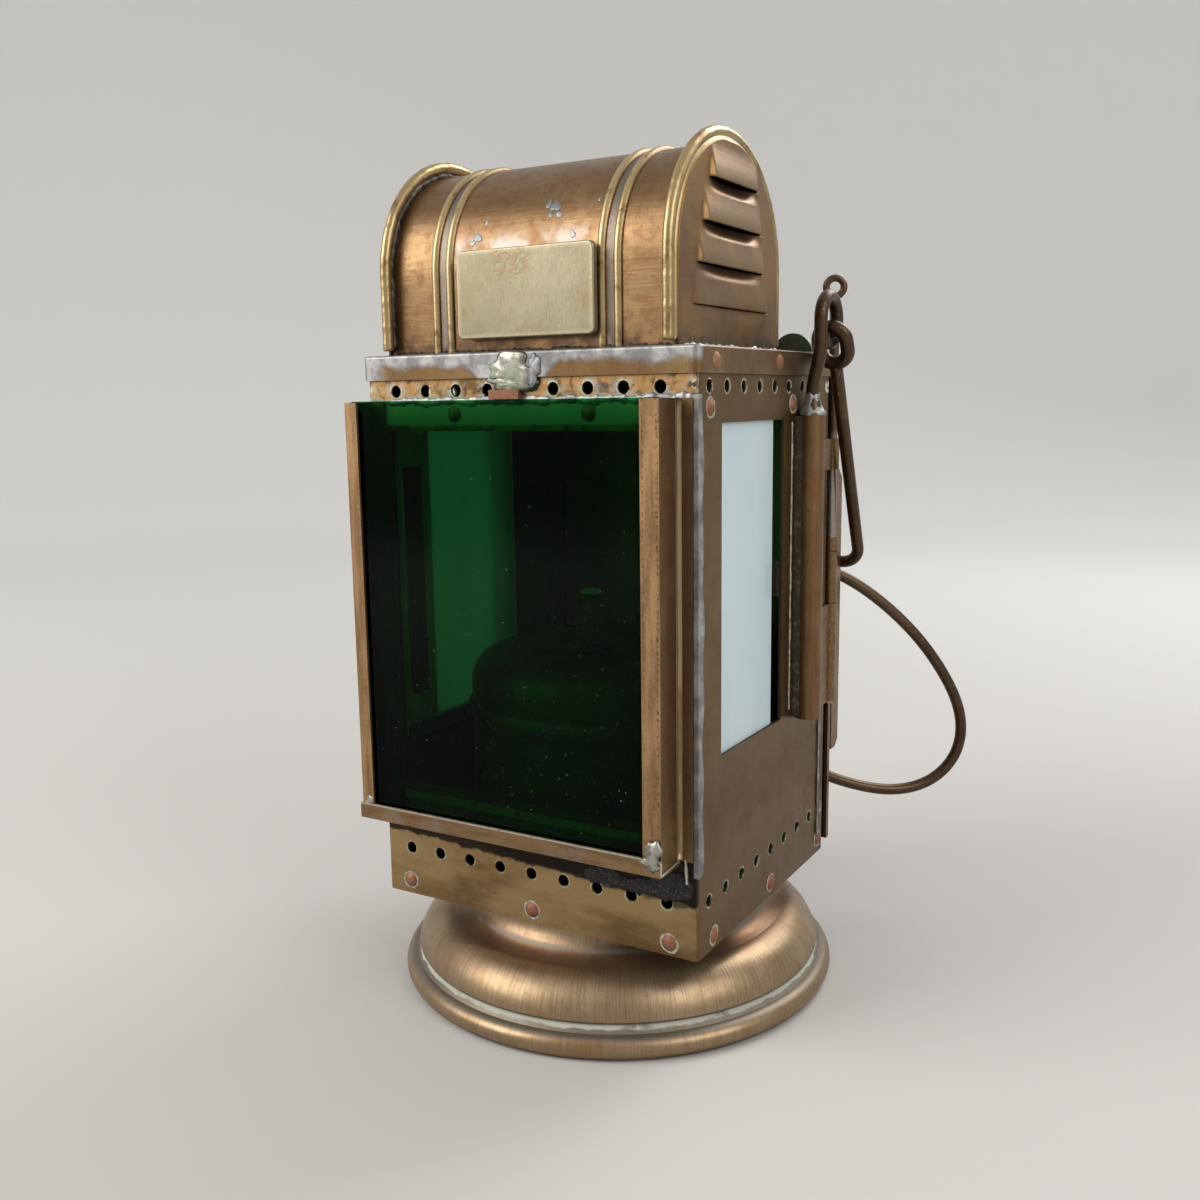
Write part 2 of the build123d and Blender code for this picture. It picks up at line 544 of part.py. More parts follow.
# Green front glass, free to be lifted out of its channel.
g0 = GLASS_Y - GLASS_T / 2
glass = block(FRAME_L + GUIDE_T + 0.4, FRAME_R - GUIDE_T - 0.4, g0, g0 + GLASS_T, FRAME_Z0 + 0.02, FRAME_Z1 + 0.3)
glass = fillet(glass.edges().filter_by(Axis.Y), 0.8)
keep("green_glass", glass)

# Side panes of opal glass behind the side windows, and what holds them.
PANE_T = 2.0
PX0 = FX - PANE_T
PANE_R = (WINDOW_R[0] - 6.0, WINDOW_R[1] - 6.3)
PANE_L = (WINDOW_L[0] - 17.0, WINDOW_L[1] + 2.0)
PANE_R_Z = WINDOW_R_Z[0] - 4.5
PANE_L_Z = WINDOW_L_Z[0] - 4.0
keep("opal_pane_right", block(PX0, FX, *PANE_R, PANE_R_Z, WINDOW_R_Z[1] + 0.3))
keep("opal_pane_left", block(-FX, -PX0, *PANE_L, PANE_L_Z, WINDOW_L_Z[1] + 3.0))


def pane_trough(y0, y1, z):
    """A channel under a side pane on the right."""
    t = block(PX0 - 1.0, FX, y0, y1, z - 1.0, z)
    t += block(PX0 - 1.0, PX0, y0, y1, z, z + 4.0)
    return t


keep("pane_trough_right", pane_trough(PANE_R[0] - 1.0, WINDOW_R[1] + 11.5, PANE_R_Z))
keep("pane_trough_left", mirror(pane_trough(PANE_L[0] - 1.0, PANE_L[1] + 2.0, PANE_L_Z), about=Plane.YZ))
clip_y = PANE_R[1] + 5.8
clip = block(PX0 - 0.8, PX0, clip_y - 10.0, clip_y, 137.0, 149.0) + block(PX0, FX, clip_y - 0.8, clip_y, 137.0, 149.0)
keep("pane_clip_right", clip + block(FX - 0.8, FX, clip_y, clip_y + 6.0, 137.0, 149.0))
keep("pane_strip_left", block(-PX0, -PX0 + 0.8, PANE_L[0] + 1.0, PANE_L[0] + 10.0, PANE_L_Z + 15.0, WINDOW_L_Z[1] - 12.0))

# Solder along the right front corner, with a run edge, and the repair over the glass.
RUN_T = 0.5
RUN_Y = Y_FRONT - RUN_T
RUN_Z0 = FRAME_Z0 - 5.0
RUN_Z1 = FRAME_Z1 + 1.0


def corner_solder():
    """The flat run of solder down the right front corner."""
    with BuildSketch(Plane.YZ) as s:
        with BuildLine():
            zs = [70, 80, 91, 103, 114, 126, 138, 149, 161, 172, 184, 194]
            runs = [3.2, 2.3, 3.0, 2.0, 3.4, 2.5, 3.6, 2.4, 2.9, 2.1, 3.3, 2.4]
            edge = [(Y_FRONT + run, z) for run, z in zip(runs, zs)]
            low, high = Y_FRONT + 2.4, Y_FRONT + 2.0
            Polyline((RUN_Y, RUN_Z0), (low, RUN_Z0 + 0.4))
            Spline([(low, RUN_Z0 + 0.4)] + edge + [(high, RUN_Z1)])
            Polyline((high, RUN_Z1), (RUN_Y, RUN_Z1), (RUN_Y, RUN_Z0))
        make_face()
    side = Pos(HALF_W, 0, 0) * extrude(s.sketch, amount=RUN_T)
    front = block(FLANGE_R, HALF_W + RUN_T, RUN_Y, Y_FRONT, RUN_Z0, RUN_Z1)
    run = side + front
    keepout = block(-HALF_W, HALF_W, Y_FRONT, Y_REAR, Z_FLOOR, Z_LID)
    return run - fillet(keepout.edges().filter_by(Axis.Z), 1.6)


keep("corner_solder", corner_solder())
PATCH_Z = LID_EDGE - 3.7
tab = block(-10.0, 1.0, LY0 - 1.2, LY0, PATCH_Z - 2.8, PATCH_Z) + block(-10.0, 1.0, LY0, Y_FRONT, PATCH_Z - 2.8, PATCH_Z)
keep("lid_tab", tab)
patch = block(-11.0, 6.5, LY0 - 1.1, LY0, PATCH_Z, Z_LID)
patch += block(-11.0, 6.5, LY0, Y_FRONT, PATCH_Z, LID_EDGE)
keep("lid_patch", patch)

# Side sockets: a tube soldered to each side of the case.
def socket():
    """The right tube."""
    return rod_z(TUBE_X, TUBE_Y, TUBE_Z0, TUBE_Z1, TUBE_R) - rod_z(TUBE_X, TUBE_Y, TUBE_Z0 - 1, TUBE_Z1 + 1, WIRE_R + 0.05)


def socket_solder():
    """Solder that fills the corners between the tube and the side sheet."""
    half = TUBE_R - 0.4
    s = block(HALF_W, TUBE_X - 1.4, TUBE_Y - half, TUBE_Y + half, TUBE_Z0 + 1, TUBE_Z1 - 1)
    return s - rod_z(TUBE_X, TUBE_Y, TUBE_Z0, TUBE_Z1, TUBE_R)


right, left = both(socket())
keep("side_tube_right", right)
keep("side_tube_left", left)
right, left = both(socket_solder())
keep("tube_solder_right", right)
keep("tube_solder_left", left)


def eye_rod(sign):
    """A rod, right or left: straight in its tube, then bent up into a round eye."""
    lower = Vector(sign * TUBE_X, TUBE_Y, TUBE_Z0 + 1.5)
    knee = Vector(sign * TUBE_X, TUBE_Y, TUBE_Z1 + 8.5)
    c = Vector(sign * EYE_X, EYE_Y, EYE_Z)
    side = c + Vector(0, -EYE_R, 0)
    neck = Vector(sign * EYE_X, side.Y, EYE_Z - 11.0)
    rod = bent_wire([lower, knee, neck, side], [14.0, 14.0], WIRE_R)
    loop = bend(side, (0, 0, 1), c, 318, WIRE_R)
    cone = Pos(sign * TUBE_X, TUBE_Y, TUBE_Z1 + 2.5) * Cone(TUBE_R - 0.4, WIRE_R + 0.1, 5.0)
    return rod + loop + cone


keep("eye_rod_right", eye_rod(1))
keep("eye_rod_left", eye_rod(-1))


def bail():
    """The carrying bail: a bent wire with a ring at each end through the eyes."""
    dy = BAR_Y - EYE_Y
    dz = BAR_Z - EYE_Z
    reach = math.hypot(dy, dz)
    out = Vector(0, dy / reach, dz / reach)
    c = Vector(EYE_X, EYE_Y, EYE_Z)
    thick = WIRE_R + 0.15
    a = WIRE_R + 0.3 + thick
    r0 = EYE_R - a
    r1 = EYE_R + a + 3.4
    side = Vector(a, 0, 0)
    hi = c + out * (r0 + a)
    lo = c + out * (r1 - a)
    def end_ring(m):
        """The ring round one eye: two half turns and two short runs."""
        h = Vector(m * hi.X, hi.Y, hi.Z)
        w = Vector(m * lo.X, lo.Y, lo.Z)
        turn = bend(h + side, out * -1, h, 180, thick)
        turn += bar(h - side, w - side, thick)
        turn += bend(w - side, out, w, 180, thick)
        return turn + bar(w + side, h + side, thick)

    top = lo + out * a
    corners = [top, Vector(BAR_X, BAR_Y, BAR_Z), Vector(-BAR_X, BAR_Y, BAR_Z), Vector(-top.X, top.Y, top.Z)]
    return bent_wire(corners, [7.0, 7.0], WIRE_R) + end_ring(1) + end_ring(-1)


keep("bail", bail())

# Rear door: a pan that closes the open rear, with a raised channel on its back.
door = block(-DOOR_X, DOOR_X, DOOR_FRONT, DOOR_BACK, DOOR_Z0, DOOR_Z1)
door = fillet(door.edges().filter_by(Axis.Z), 1.4)
door_in = DOOR_X - DOOR_T
door -= block(-door_in, door_in, DOOR_FRONT - 2, DOOR_BACK - DOOR_T, DOOR_Z0 + DOOR_T, DOOR_Z1 - DOOR_T)
door -= block(door_in - 2, DOOR_X + 2, DOOR_FRONT - 2, HINGE_Y + 3.3, DOOR_Z0 - 5, DOOR_Z1 + 5)
keep("door_pan", door)
channel = block(-DOOR_X, DOOR_X, DOOR_BACK, CHANNEL_BACK, CHANNEL_Z0, CHANNEL_Z1)
channel -= block(-door_in, door_in, DOOR_BACK + DOOR_T, CHANNEL_BACK + 1, CHANNEL_Z0 - 9, CHANNEL_Z1 + 9)
cut = Pos(0, CHANNEL_BACK, CHANNEL_Z0) * Rot(45, 0, 0) * Box(2 * HALF_W, 4, 4)
cut += Pos(0, CHANNEL_BACK, CHANNEL_Z1) * Rot(45, 0, 0) * Box(2 * HALF_W, 6, 6)
keep("door_channel", channel - cut)

# Hinge: case knuckles and leaf, door knuckle and leaf, and the long pin.
def knuckle(z0, z1):
    """A rolled barrel on the hinge line."""
    return rod_z(HINGE_X, HINGE_Y, z0, z1, KNUCKLE_R) - rod_z(HINGE_X, HINGE_Y, z0 - 1, z1 + 1, PIN_R + 0.05)


def case_leaf(z0, z1):
    """The leaf that carries a case knuckle, lapped on the side of the case."""
    leaf = block(HALF_W, HALF_W + 1.0, Y_REAR - 8.0, HINGE_Y - 1.6, z0, z1)
    return leaf - rod_z(HINGE_X, HINGE_Y, z0 - 1, z1 + 1, PIN_R + 0.05)


def door_leaf(z0, z1):
    """The leaf that carries the door knuckle, on the inner side of the door."""
    leaf = block(door_in - 1.0, door_in, HINGE_Y, DOOR_BACK - DOOR_T, z0, z1)
    return leaf - rod_z(HINGE_X, HINGE_Y, z0 - 1, z1 + 1, PIN_R + 0.05)


KNUCKLE_Z = 128.0
PLAY = 0.1
keep("hinge_case_low", knuckle(91.0, KNUCKLE_Z - 0.2) + case_leaf(91.0, KNUCKLE_Z - 0.2))
keep("hinge_case_high", knuckle(177.0, 188.0) + case_leaf(177.0, 188.0))
keep("hinge_door", knuckle(KNUCKLE_Z + PLAY, KNUCKLE_Z + 19.0) + door_leaf(KNUCKLE_Z + PLAY, KNUCKLE_Z + 19.0))
keep("hinge_collar", knuckle(KNUCKLE_Z + 19.3, KNUCKLE_Z + 24.0))

# Hinge pin: a long wire with a small ring bent at its top, drawn upward.
PIN_TOP = Z_LID + 20.4
pin = rod_z(HINGE_X, HINGE_Y, 90.0, PIN_TOP, PIN_R)
ring_c = Vector(HINGE_X, HINGE_Y, PIN_TOP + 2.8)
pull = Pos(ring_c) * Rot(0, 0, 25) * Rot(90, 0, 0) * Torus(3.1, 1.25)
keep("hinge_pin", pin + pull)

# Grip: a bent wire that swivels in two ears on the back of the door.
def grip():
    """The grip wire, with both ends turned into the ears."""
    b = math.radians(GRIP_TURN)
    def at(s, z):
        return Vector(GRIP_X + s * math.cos(b), GRIP_Y + s * math.sin(b), z)
    line = [(0, 114.0), (0, 136.4), (13.8, 135.6), (40.2, 113.6), (62.6, 80.5), (62.6, 62.2),
            (44.1, 47.5), (26.7, 47.5), (0, 59.8), (0, 79.0)]
    radii = [4.2, 14.0, 45.0, 25.0, 14.0, 25.0, 25.0, 5.0]
    return bent_wire([at(s, z) for s, z in line], radii, GRIP_R)


keep("rear_grip", grip())


def ear(z0, z1):
    """One ear: a strap rolled round the grip wire, with a foot on the door."""
    r_in = GRIP_R + 0.06
    barrel = rod_z(GRIP_X, GRIP_Y, z0, z1, r_in + 1.1)
    tongue = block(GRIP_X - r_in - 1.1, GRIP_X - r_in, DOOR_BACK + DOOR_T, GRIP_Y, z0, z1)
    base = block(GRIP_X - 12.0, GRIP_X - r_in, DOOR_BACK + DOOR_T, DOOR_BACK + 2 * DOOR_T, z0, z1)
    return barrel + tongue + base - rod_z(GRIP_X, GRIP_Y, z0 - 1, z1 + 1, r_in)


keep("grip_ear_high", ear(116.0, 128.0))
keep("grip_ear_low", ear(65.0, 77.0))

# Door catch: a turned button on the left edge, and a rivet head near the top right.
CATCH_Z = 122.0
catch = rod_x(-HALF_W - 3.0, -HALF_W, Y_REAR - 8.0, CATCH_Z, 3.0)
catch += block(-HALF_W - 2.0, -HALF_W - 1.0, Y_REAR - 11.0, Y_REAR + 6.0, CATCH_Z - 4.5, CATCH_Z + 4.5)
keep("door_catch", catch)
keep("catch_keeper", block(-HALF_W - 0.9, -DOOR_X, Y_REAR + 1.4, Y_REAR + 6.0, CATCH_Z - 4.5, CATCH_Z + 4.5))
stud = rod_y(DOOR_X - 5.2, DOOR_BACK, DOOR_BACK + 6.0, DOOR_Z1 - 10.5, 3.3)
stud = fillet(stud.edges().sort_by(Axis.Y)[-1], 1.2)
keep("door_stud", stud)

for name, shape in made.items():
    bb = shape.bounding_box()
    print(name, len(shape.solids()), round(shape.volume, 1), [round(v, 1) for v in (bb.min.X, bb.min.Y, bb.min.Z, bb.max.X, bb.max.Y, bb.max.Z)])
print(len(made), "nodes")
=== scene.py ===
import math

import bmesh
import bpy
import numpy as np
from mathutils import Matrix, Vector


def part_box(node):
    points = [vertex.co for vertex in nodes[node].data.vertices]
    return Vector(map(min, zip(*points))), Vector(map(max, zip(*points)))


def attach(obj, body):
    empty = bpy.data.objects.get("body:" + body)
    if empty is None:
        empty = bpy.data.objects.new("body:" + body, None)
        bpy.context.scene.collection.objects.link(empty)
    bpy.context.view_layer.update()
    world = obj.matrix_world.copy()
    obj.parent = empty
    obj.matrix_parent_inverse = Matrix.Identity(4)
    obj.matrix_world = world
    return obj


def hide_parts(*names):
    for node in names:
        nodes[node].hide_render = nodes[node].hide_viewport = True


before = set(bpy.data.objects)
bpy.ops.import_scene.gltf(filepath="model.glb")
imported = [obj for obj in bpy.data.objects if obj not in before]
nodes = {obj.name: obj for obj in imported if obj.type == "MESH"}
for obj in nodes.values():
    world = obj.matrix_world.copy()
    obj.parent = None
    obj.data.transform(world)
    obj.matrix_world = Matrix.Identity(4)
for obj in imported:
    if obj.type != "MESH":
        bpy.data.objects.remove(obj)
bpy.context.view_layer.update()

mm = 0.001

# Camera. It stands to the right of the lamp's front and a little higher than its lid, as
# the photographer did, and the lens is turned by less than a degree.
eye_point = Vector((207.98, -364.19, 202.63)) * mm
walked_round = math.radians(30.401)
looking_down = math.radians(9.448)
lens_turn = math.radians(-0.808)
lens_length = 35.985
backward = Vector((
    math.sin(walked_round) * math.cos(looking_down),
    -math.cos(walked_round) * math.cos(looking_down),
    math.sin(looking_down),
))
rightward = Vector((math.cos(walked_round), math.sin(walked_round), 0.0))
upward = backward.cross(rightward)
turned_right = math.cos(lens_turn) * rightward + math.sin(lens_turn) * upward
turned_up = math.cos(lens_turn) * upward - math.sin(lens_turn) * rightward
camera_data = bpy.data.cameras.new("camera")
camera_data.lens = lens_length
camera_data.sensor_width = 36.0
camera_data.clip_start = 0.01
camera = bpy.data.objects.new("camera", camera_data)
bpy.context.scene.collection.objects.link(camera)
axes = Matrix((turned_right, turned_up, backward)).transposed().to_4x4()
camera.matrix_world = Matrix.Translation(eye_point) @ axes
bpy.context.scene.camera = camera


# Studio. A matt floor that grows paler outwards and curves up into a low wall all round,
# so that the lamp stands in front of one even tone from every side, under three soft lamps.
def grid_mesh(name, grid, ring_u=False, ring_v=False):
    """A mesh over a grid of points (rows, columns, 3). A ring joins its last line to its first."""
    rows, columns = grid.shape[:2]
    u = np.arange(rows if ring_u else rows - 1)[:, None]
    v = np.arange(columns if ring_v else columns - 1)[None, :]
    u_next = (u + 1) % rows
    v_next = (v + 1) % columns
    corners = [u * columns + v, u_next * columns + v, u_next * columns + v_next, u * columns + v_next]
    faces = np.stack(np.broadcast_arrays(*corners), -1).reshape(-1, 4)
    mesh = bpy.data.meshes.new(name)
    mesh.from_pydata(grid.reshape(-1, 3).tolist(), [], faces.tolist())
    mesh.polygons.foreach_set("use_smooth", np.ones(len(faces), bool))
    made = bpy.data.objects.new(name, mesh)
    bpy.context.scene.collection.objects.link(made)
    return made


def spun(profile, turns):
    """Points (radius, height) carried round the upright axis: x = r cos t, y = r sin t."""
    t = np.linspace(0.0, 2.0 * np.pi, turns, endpoint=False)[:, None]
    r, z = profile[:, 0][None, :], profile[:, 1][None, :]
    return np.stack([r * np.cos(t), r * np.sin(t), np.broadcast_to(z, (turns, z.shape[1]))], -1)


def put(tree, kind, sockets=None, **settings):
    """One shader node. Its sockets take numbers, colours or the outputs of other nodes."""
    made = tree.nodes.new("ShaderNode" + kind)
    for setting, value in settings.items():
        setattr(made, setting, value)
    for socket, value in (sockets or {}).items():
        if isinstance(value, bpy.types.NodeSocket):
            tree.links.new(value, made.inputs[socket])
        else:
            made.inputs[socket].default_value = value
    return made


floor_reach = 1.3
wall_curve = 0.9
wall_height = 1.4
arc = np.linspace(-0.5 * np.pi, 0.0, 24)
floor_profile = np.concatenate([
    [[0.0, 0.0], [0.5, 0.0], [floor_reach, 0.0]],
    np.stack([floor_reach + wall_curve * np.cos(arc), wall_curve + wall_curve * np.sin(arc)], -1)[1:],
    [[floor_reach + wall_curve, wall_height]],
])
floor = grid_mesh("floor", spun(floor_profile, 96), ring_u=True)
floor_paint = bpy.data.materials.new("floor_paint")
floor_paint.use_nodes = True
floor_tree = floor_paint.node_tree
floor_shader = floor_tree.nodes["Principled BSDF"]
near_tone = (0.50, 0.49, 0.475, 1.0)
far_tone = (0.74, 0.74, 0.73, 1.0)
paling_starts = 0.2
paling_ends = 1.6
floor_place = put(floor_tree, "TexCoord").outputs["Object"]
from_lamp = put(floor_tree, "VectorMath", {0: floor_place}, operation="LENGTH").outputs["Value"]
paling = {"Value": from_lamp, "From Min": paling_starts, "From Max": paling_ends}
far = put(floor_tree, "MapRange", paling, interpolation_type="SMOOTHSTEP").outputs[0]
floor_tone = put(floor_tree, "Mix", {0: far, 6: near_tone, 7: far_tone}, data_type="RGBA").outputs[2]
floor_tree.links.new(floor_tone, floor_shader.inputs["Base Color"])
floor_shader.inputs["Roughness"].default_value = 0.9
floor_shader.inputs["Specular IOR Level"].default_value = 0.1
floor.data.materials.append(floor_paint)

world = bpy.data.worlds.new("studio")
bpy.context.scene.world = world
world.use_nodes = True
room_light = world.node_tree.nodes["Background"]
room_light.inputs["Color"].default_value = (1.0, 0.98, 0.95, 1.0)
room_light.inputs["Strength"].default_value = 0.62
bpy.context.scene.view_settings.view_transform = "Standard"


def soft_lamp(name, place, aim, width, power, colour):
    """A square studio lamp that looks at one point."""
    data = bpy.data.lights.new(name, "AREA")
    data.shape = "SQUARE"
    data.size = width
    data.energy = power
    data.color = colour
    made = bpy.data.objects.new(name, data)
    bpy.context.scene.collection.objects.link(made)
    made.location = place
    made.rotation_euler = (Vector(aim) - Vector(place)).to_track_quat("-Z", "Y").to_euler()


lamp_middle = (0.0, 0.0, 0.12)
soft_lamp("window_left", (-0.75, -0.85, 0.75), lamp_middle, 0.85, 12.8, (1.0, 0.98, 0.95))
soft_lamp("window_right", (0.95, -0.25, 0.70), lamp_middle, 0.7, 5.0, (1.0, 0.99, 0.97))
soft_lamp("window_rear", (0.35, 0.95, 1.0), lamp_middle, 0.7, 9.0, (1.0, 1.0, 1.0))


# Case. One folded brass sheet with a square pan in its foot and an angle strip under its
# upper edge. Age has turned the brass brown, with darker clouds, rubbed bright patches
# and fine upright marks left by the rolls.
def effect(name, takes, gives):
    """An empty node group with named sockets, and its first and last nodes."""
    group = bpy.data.node_groups.new(name, "ShaderNodeTree")
    for socket, kind in takes:
        group.interface.new_socket(socket, in_out="INPUT", socket_type="NodeSocket" + kind)
    for socket, kind in gives:
        group.interface.new_socket(socket, in_out="OUTPUT", socket_type="NodeSocket" + kind)
    return group, group.nodes.new("NodeGroupInput").outputs, group.nodes.new("NodeGroupOutput").inputs


def tree_of(*values):
    """The shader tree of the first socket among the values. A socket knows its own tree."""
    return next(value.id_data for value in values if isinstance(value, bpy.types.NodeSocket))


def reckon(operation, a, b=0.0, clamp=False):
    """A sum on one or two numbers."""
    return put(tree_of(a, b), "Math", {0: a, 1: b}, operation=operation, use_clamp=clamp).outputs[0]


def times(first, *others):
    """All of them multiplied: a mask kept to where every one is 1, or made weaker."""
    product = first
    for other in others:
        product = reckon("MULTIPLY", product, other)
    return product


def plus(a, b):
    """a plus b."""
    return reckon("ADD", a, b)


def less(a, b):
    """a less b."""
    return reckon("SUBTRACT", a, b)


def larger(a, b):
    """The larger of a and b: a mask that is 1 where either is."""
    return reckon("MAXIMUM", a, b)


def size_of(a):
    """How large a is, whatever its sign."""
    return reckon("ABSOLUTE", a)


def length_of(a, b):
    """How far (a, b) is from the middle: the root of a a + b b."""
    return reckon("SQRT", plus(times(a, a), times(b, b)))


def tint(mask, under, over):
    """One colour laid over another where the mask is 1."""
    return put(tree_of(mask), "Mix", {0: mask, 6: under, 7: over}, data_type="RGBA").outputs[2]


def meet(mask, under, over):
    """One number that gives way to another where the mask is 1."""
    return put(tree_of(mask), "Mix", {0: mask, 2: under, 3: over}).outputs[0]


def rise(value, low, high):
    """A mask that goes smoothly from 0 at low to 1 at high."""
    sockets = {"Value": value, "From Min": low, "From Max": high}
    return put(tree_of(value), "MapRange", sockets, interpolation_type="SMOOTHSTEP").outputs[0]


def clouds(place, size, detail=3.0, stretch=(1.0, 1.0, 1.0)):
    """Soft noise whose clouds are about size metres across, longer where stretch is below 1."""
    drawn = put(tree_of(place), "Mapping", {"Vector": place, "Scale": stretch}).outputs[0]
    sockets = {"Vector": drawn, "Scale": 1.0 / size, "Detail": detail, "Roughness": 0.58}
    return put(tree_of(place), "TexNoise", sockets).outputs[0]


tarnish, taken, given = effect(
    "tarnish",
    [("Place", "Vector"), ("Body", "Color"), ("Deep", "Color"), ("Bright", "Color"), ("Rubbed", "Float"),
     ("Flecked", "Float")],
    [("Color", "Color"), ("Dullness", "Float"), ("Relief", "Float")],
)
broad = clouds(taken["Place"], 0.034, 5.0)
middle = clouds(taken["Place"], 0.009, 4.0)
fine = clouds(taken["Place"], 0.0011, 3.0)
spots = clouds(taken["Place"], 0.0042, 2.0)
rubbed_mask = times(rise(broad, 0.48, 0.72), taken["Rubbed"])
deep_mask = times(rise(middle, 0.50, 0.80), 0.45)
fleck_mask = times(rise(fine, 0.60, 0.72), taken["Flecked"])
warm = tint(rubbed_mask, taken["Body"], taken["Bright"])
worn = tint(deep_mask, warm, taken["Deep"])
flecked = tint(fleck_mask, worn, taken["Deep"])
spot_mask = times(rise(spots, 0.68, 0.78), 0.5)
reddened = times(rise(clouds(taken["Place"], 0.013, 5.0), 0.50, 0.70), 0.45)
red_tone = put(tarnish, "Mix", {0: 1.0, 6: taken["Body"], 7: (0.95, 0.66, 0.48, 1.0)}, data_type="RGBA",
               blend_type="MULTIPLY").outputs[2]
flecked = tint(reddened, flecked, red_tone)
tarnish.links.new(tint(spot_mask, flecked, taken["Deep"]), given["Color"])
dullness = plus(times(middle, 0.30), times(fine, 0.16))
tarnish.links.new(less(dullness, 0.23), given["Dullness"])
tarnish.links.new(plus(times(fine, 0.25), broad), given["Relief"])


class Finish:
    """A surface built up as age does it: the metal first, and then what lies on it."""

    def __init__(self, name, colour, rough, metal=0.8, relief=0.5):
        self.material = bpy.data.materials.new(name)
        self.material.use_nodes = True
        self.tree = self.material.node_tree
        self.shader = self.tree.nodes["Principled BSDF"]
        self.place = put(self.tree, "TexCoord").outputs["Object"]
        self.colour = (*colour, 1.0) if colour else None
        self.rough = rough
        self.metal = metal
        self.relief = relief

    def ways(self):
        """The place's three directions as numbers, in metres."""
        return put(self.tree, "SeparateXYZ", {0: self.place}).outputs

    def clouds(self, size=0.004, detail=3.0, stretch=(1.0, 1.0, 1.0)):
        """Soft noise over this surface."""
        return clouds(self.place, size, detail, stretch)

    def age(self, body, deep, bright, rubbed, flecked, rough):
        """Tarnished metal in three tones."""
        group = self.tree.nodes.new("ShaderNodeGroup")
        group.node_tree = tarnish
        self.tree.links.new(self.place, group.inputs["Place"])
        for socket, value in (("Body", body), ("Deep", deep), ("Bright", bright)):
            group.inputs[socket].default_value = (*value, 1.0)
        group.inputs["Rubbed"].default_value = rubbed
        group.inputs["Flecked"].default_value = flecked
        self.colour = group.outputs["Color"]
        self.rough = reckon("ADD", group.outputs["Dullness"], rough, clamp=True)
        self.relief = group.outputs["Relief"]

    def lay(self, mask, colour, rough=None, metal=None, height=0.0):
        """Something over the surface where the mask is 1: a colour, and a roughness or height of its own."""
        over = colour if isinstance(colour, bpy.types.NodeSocket) else (*colour, 1.0)
        self.colour = tint(mask, self.colour, over)
        if rough is not None:
            self.rough = meet(mask, self.rough, rough)
        if metal is not None:
            self.metal = meet(mask, self.metal, metal)
        if height:
            self.relief = plus(self.relief, times(mask, height))

    def shade_and_grime(self, reach, colour, strength=0.85):
        """Dark dirt in the corners and seams, as deep as reach, with painted shade: the mask is ambient
        occlusion.
        """
        sockets = {"Distance": reach}
        open_air = put(self.tree, "AmbientOcclusion", sockets, samples=4).outputs["AO"]
        shut = rise(open_air, 0.72, 0.25)
        self.lay(times(shut, strength), colour, rough=0.7)

    def drawn(self, stretch, size, strength):
        """Fine marks drawn out along one direction, darker and lighter."""
        marks = clouds(self.place, size, 3.0, stretch)
        mask = times(rise(marks, 0.45, 0.68), strength)
        dark = put(self.tree, "Mix", {0: mask, 6: self.colour, 7: (0.55, 0.5, 0.44, 1.0)},
                   data_type="RGBA", blend_type="MULTIPLY").outputs[2]
        self.colour = dark
        lift = times(marks, 0.5)
        self.relief = plus(self.relief, lift)

    def seal(self, bump=0.15, depth=0.0004):
        """Feeds the built-up layers into the material."""
        layers = (("Base Color", self.colour), ("Roughness", self.rough), ("Metallic", self.metal))
        for socket, value in layers:
            if isinstance(value, bpy.types.NodeSocket):
                self.tree.links.new(value, self.shader.inputs[socket])
            else:
                self.shader.inputs[socket].default_value = value
        if isinstance(self.relief, bpy.types.NodeSocket):
            sockets = {"Height": self.relief, "Strength": bump, "Distance": depth}
            self.tree.links.new(put(self.tree, "Bump", sockets).outputs[0], self.shader.inputs["Normal"])
        return self.material


def dress(material, *names):
    """Gives CAD nodes their finish."""
    for name in names:
        for held in nodes[name].material_slots:
            held.material = material


rims, taken, given = effect(
    "rims",
    [("Along", "Float"), ("Up", "Float"), ("Pitch", "Float"), ("Start", "Float"), ("Line", "Float"),
     ("Bore", "Float"), ("Edge", "Float")],
    [("Ring", "Float"), ("Halo", "Float")],
)
steps = reckon("DIVIDE", less(taken["Along"], taken["Start"]), taken["Pitch"])
beside = times(less(steps, reckon("ROUND", steps)), taken["Pitch"])
above = less(taken["Up"], taken["Line"])
square = plus(times(beside, beside), times(above, above))
past = less(reckon("SQRT", square), taken["Bore"])
rims.links.new(rise(past, taken["Edge"], 0.0), given["Ring"])
rims.links.new(rise(past, times(taken["Edge"], 5.0), 0.0), given["Halo"])


def rim_masks(finish, along, up, pitch, start, line):
    """The rings round one row of air holes: a narrow one and a broad soft one, all in metres."""
    group = finish.tree.nodes.new("ShaderNodeGroup")
    group.node_tree = rims
    finish.tree.links.new(along, group.inputs["Along"])
    finish.tree.links.new(up, group.inputs["Up"])
    values = (("Pitch", pitch), ("Start", start), ("Line", line), ("Bore", vent_bore), ("Edge", 0.0007))
    for socket, value in values:
        group.inputs[socket].default_value = value
    return group.outputs["Ring"], group.outputs["Halo"]


case_low, case_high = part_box("case_shell")
vent_bore = 0.00195
vent_low_line = 0.051
vent_high_line = 0.2063
front_low_pitch = 0.01236
front_high_pitch = 0.01206
side_pitch = 0.01226
side_start = -0.0485
brown = (0.140, 0.080, 0.029)
deep_brown = (0.085, 0.040, 0.018)
bright_brass = (0.30, 0.198, 0.085)
# near black, laid in corners and seams as dirt and painted shade
shade_and_soot = (0.018, 0.013, 0.010)
verdigris = (0.44, 0.50, 0.36)

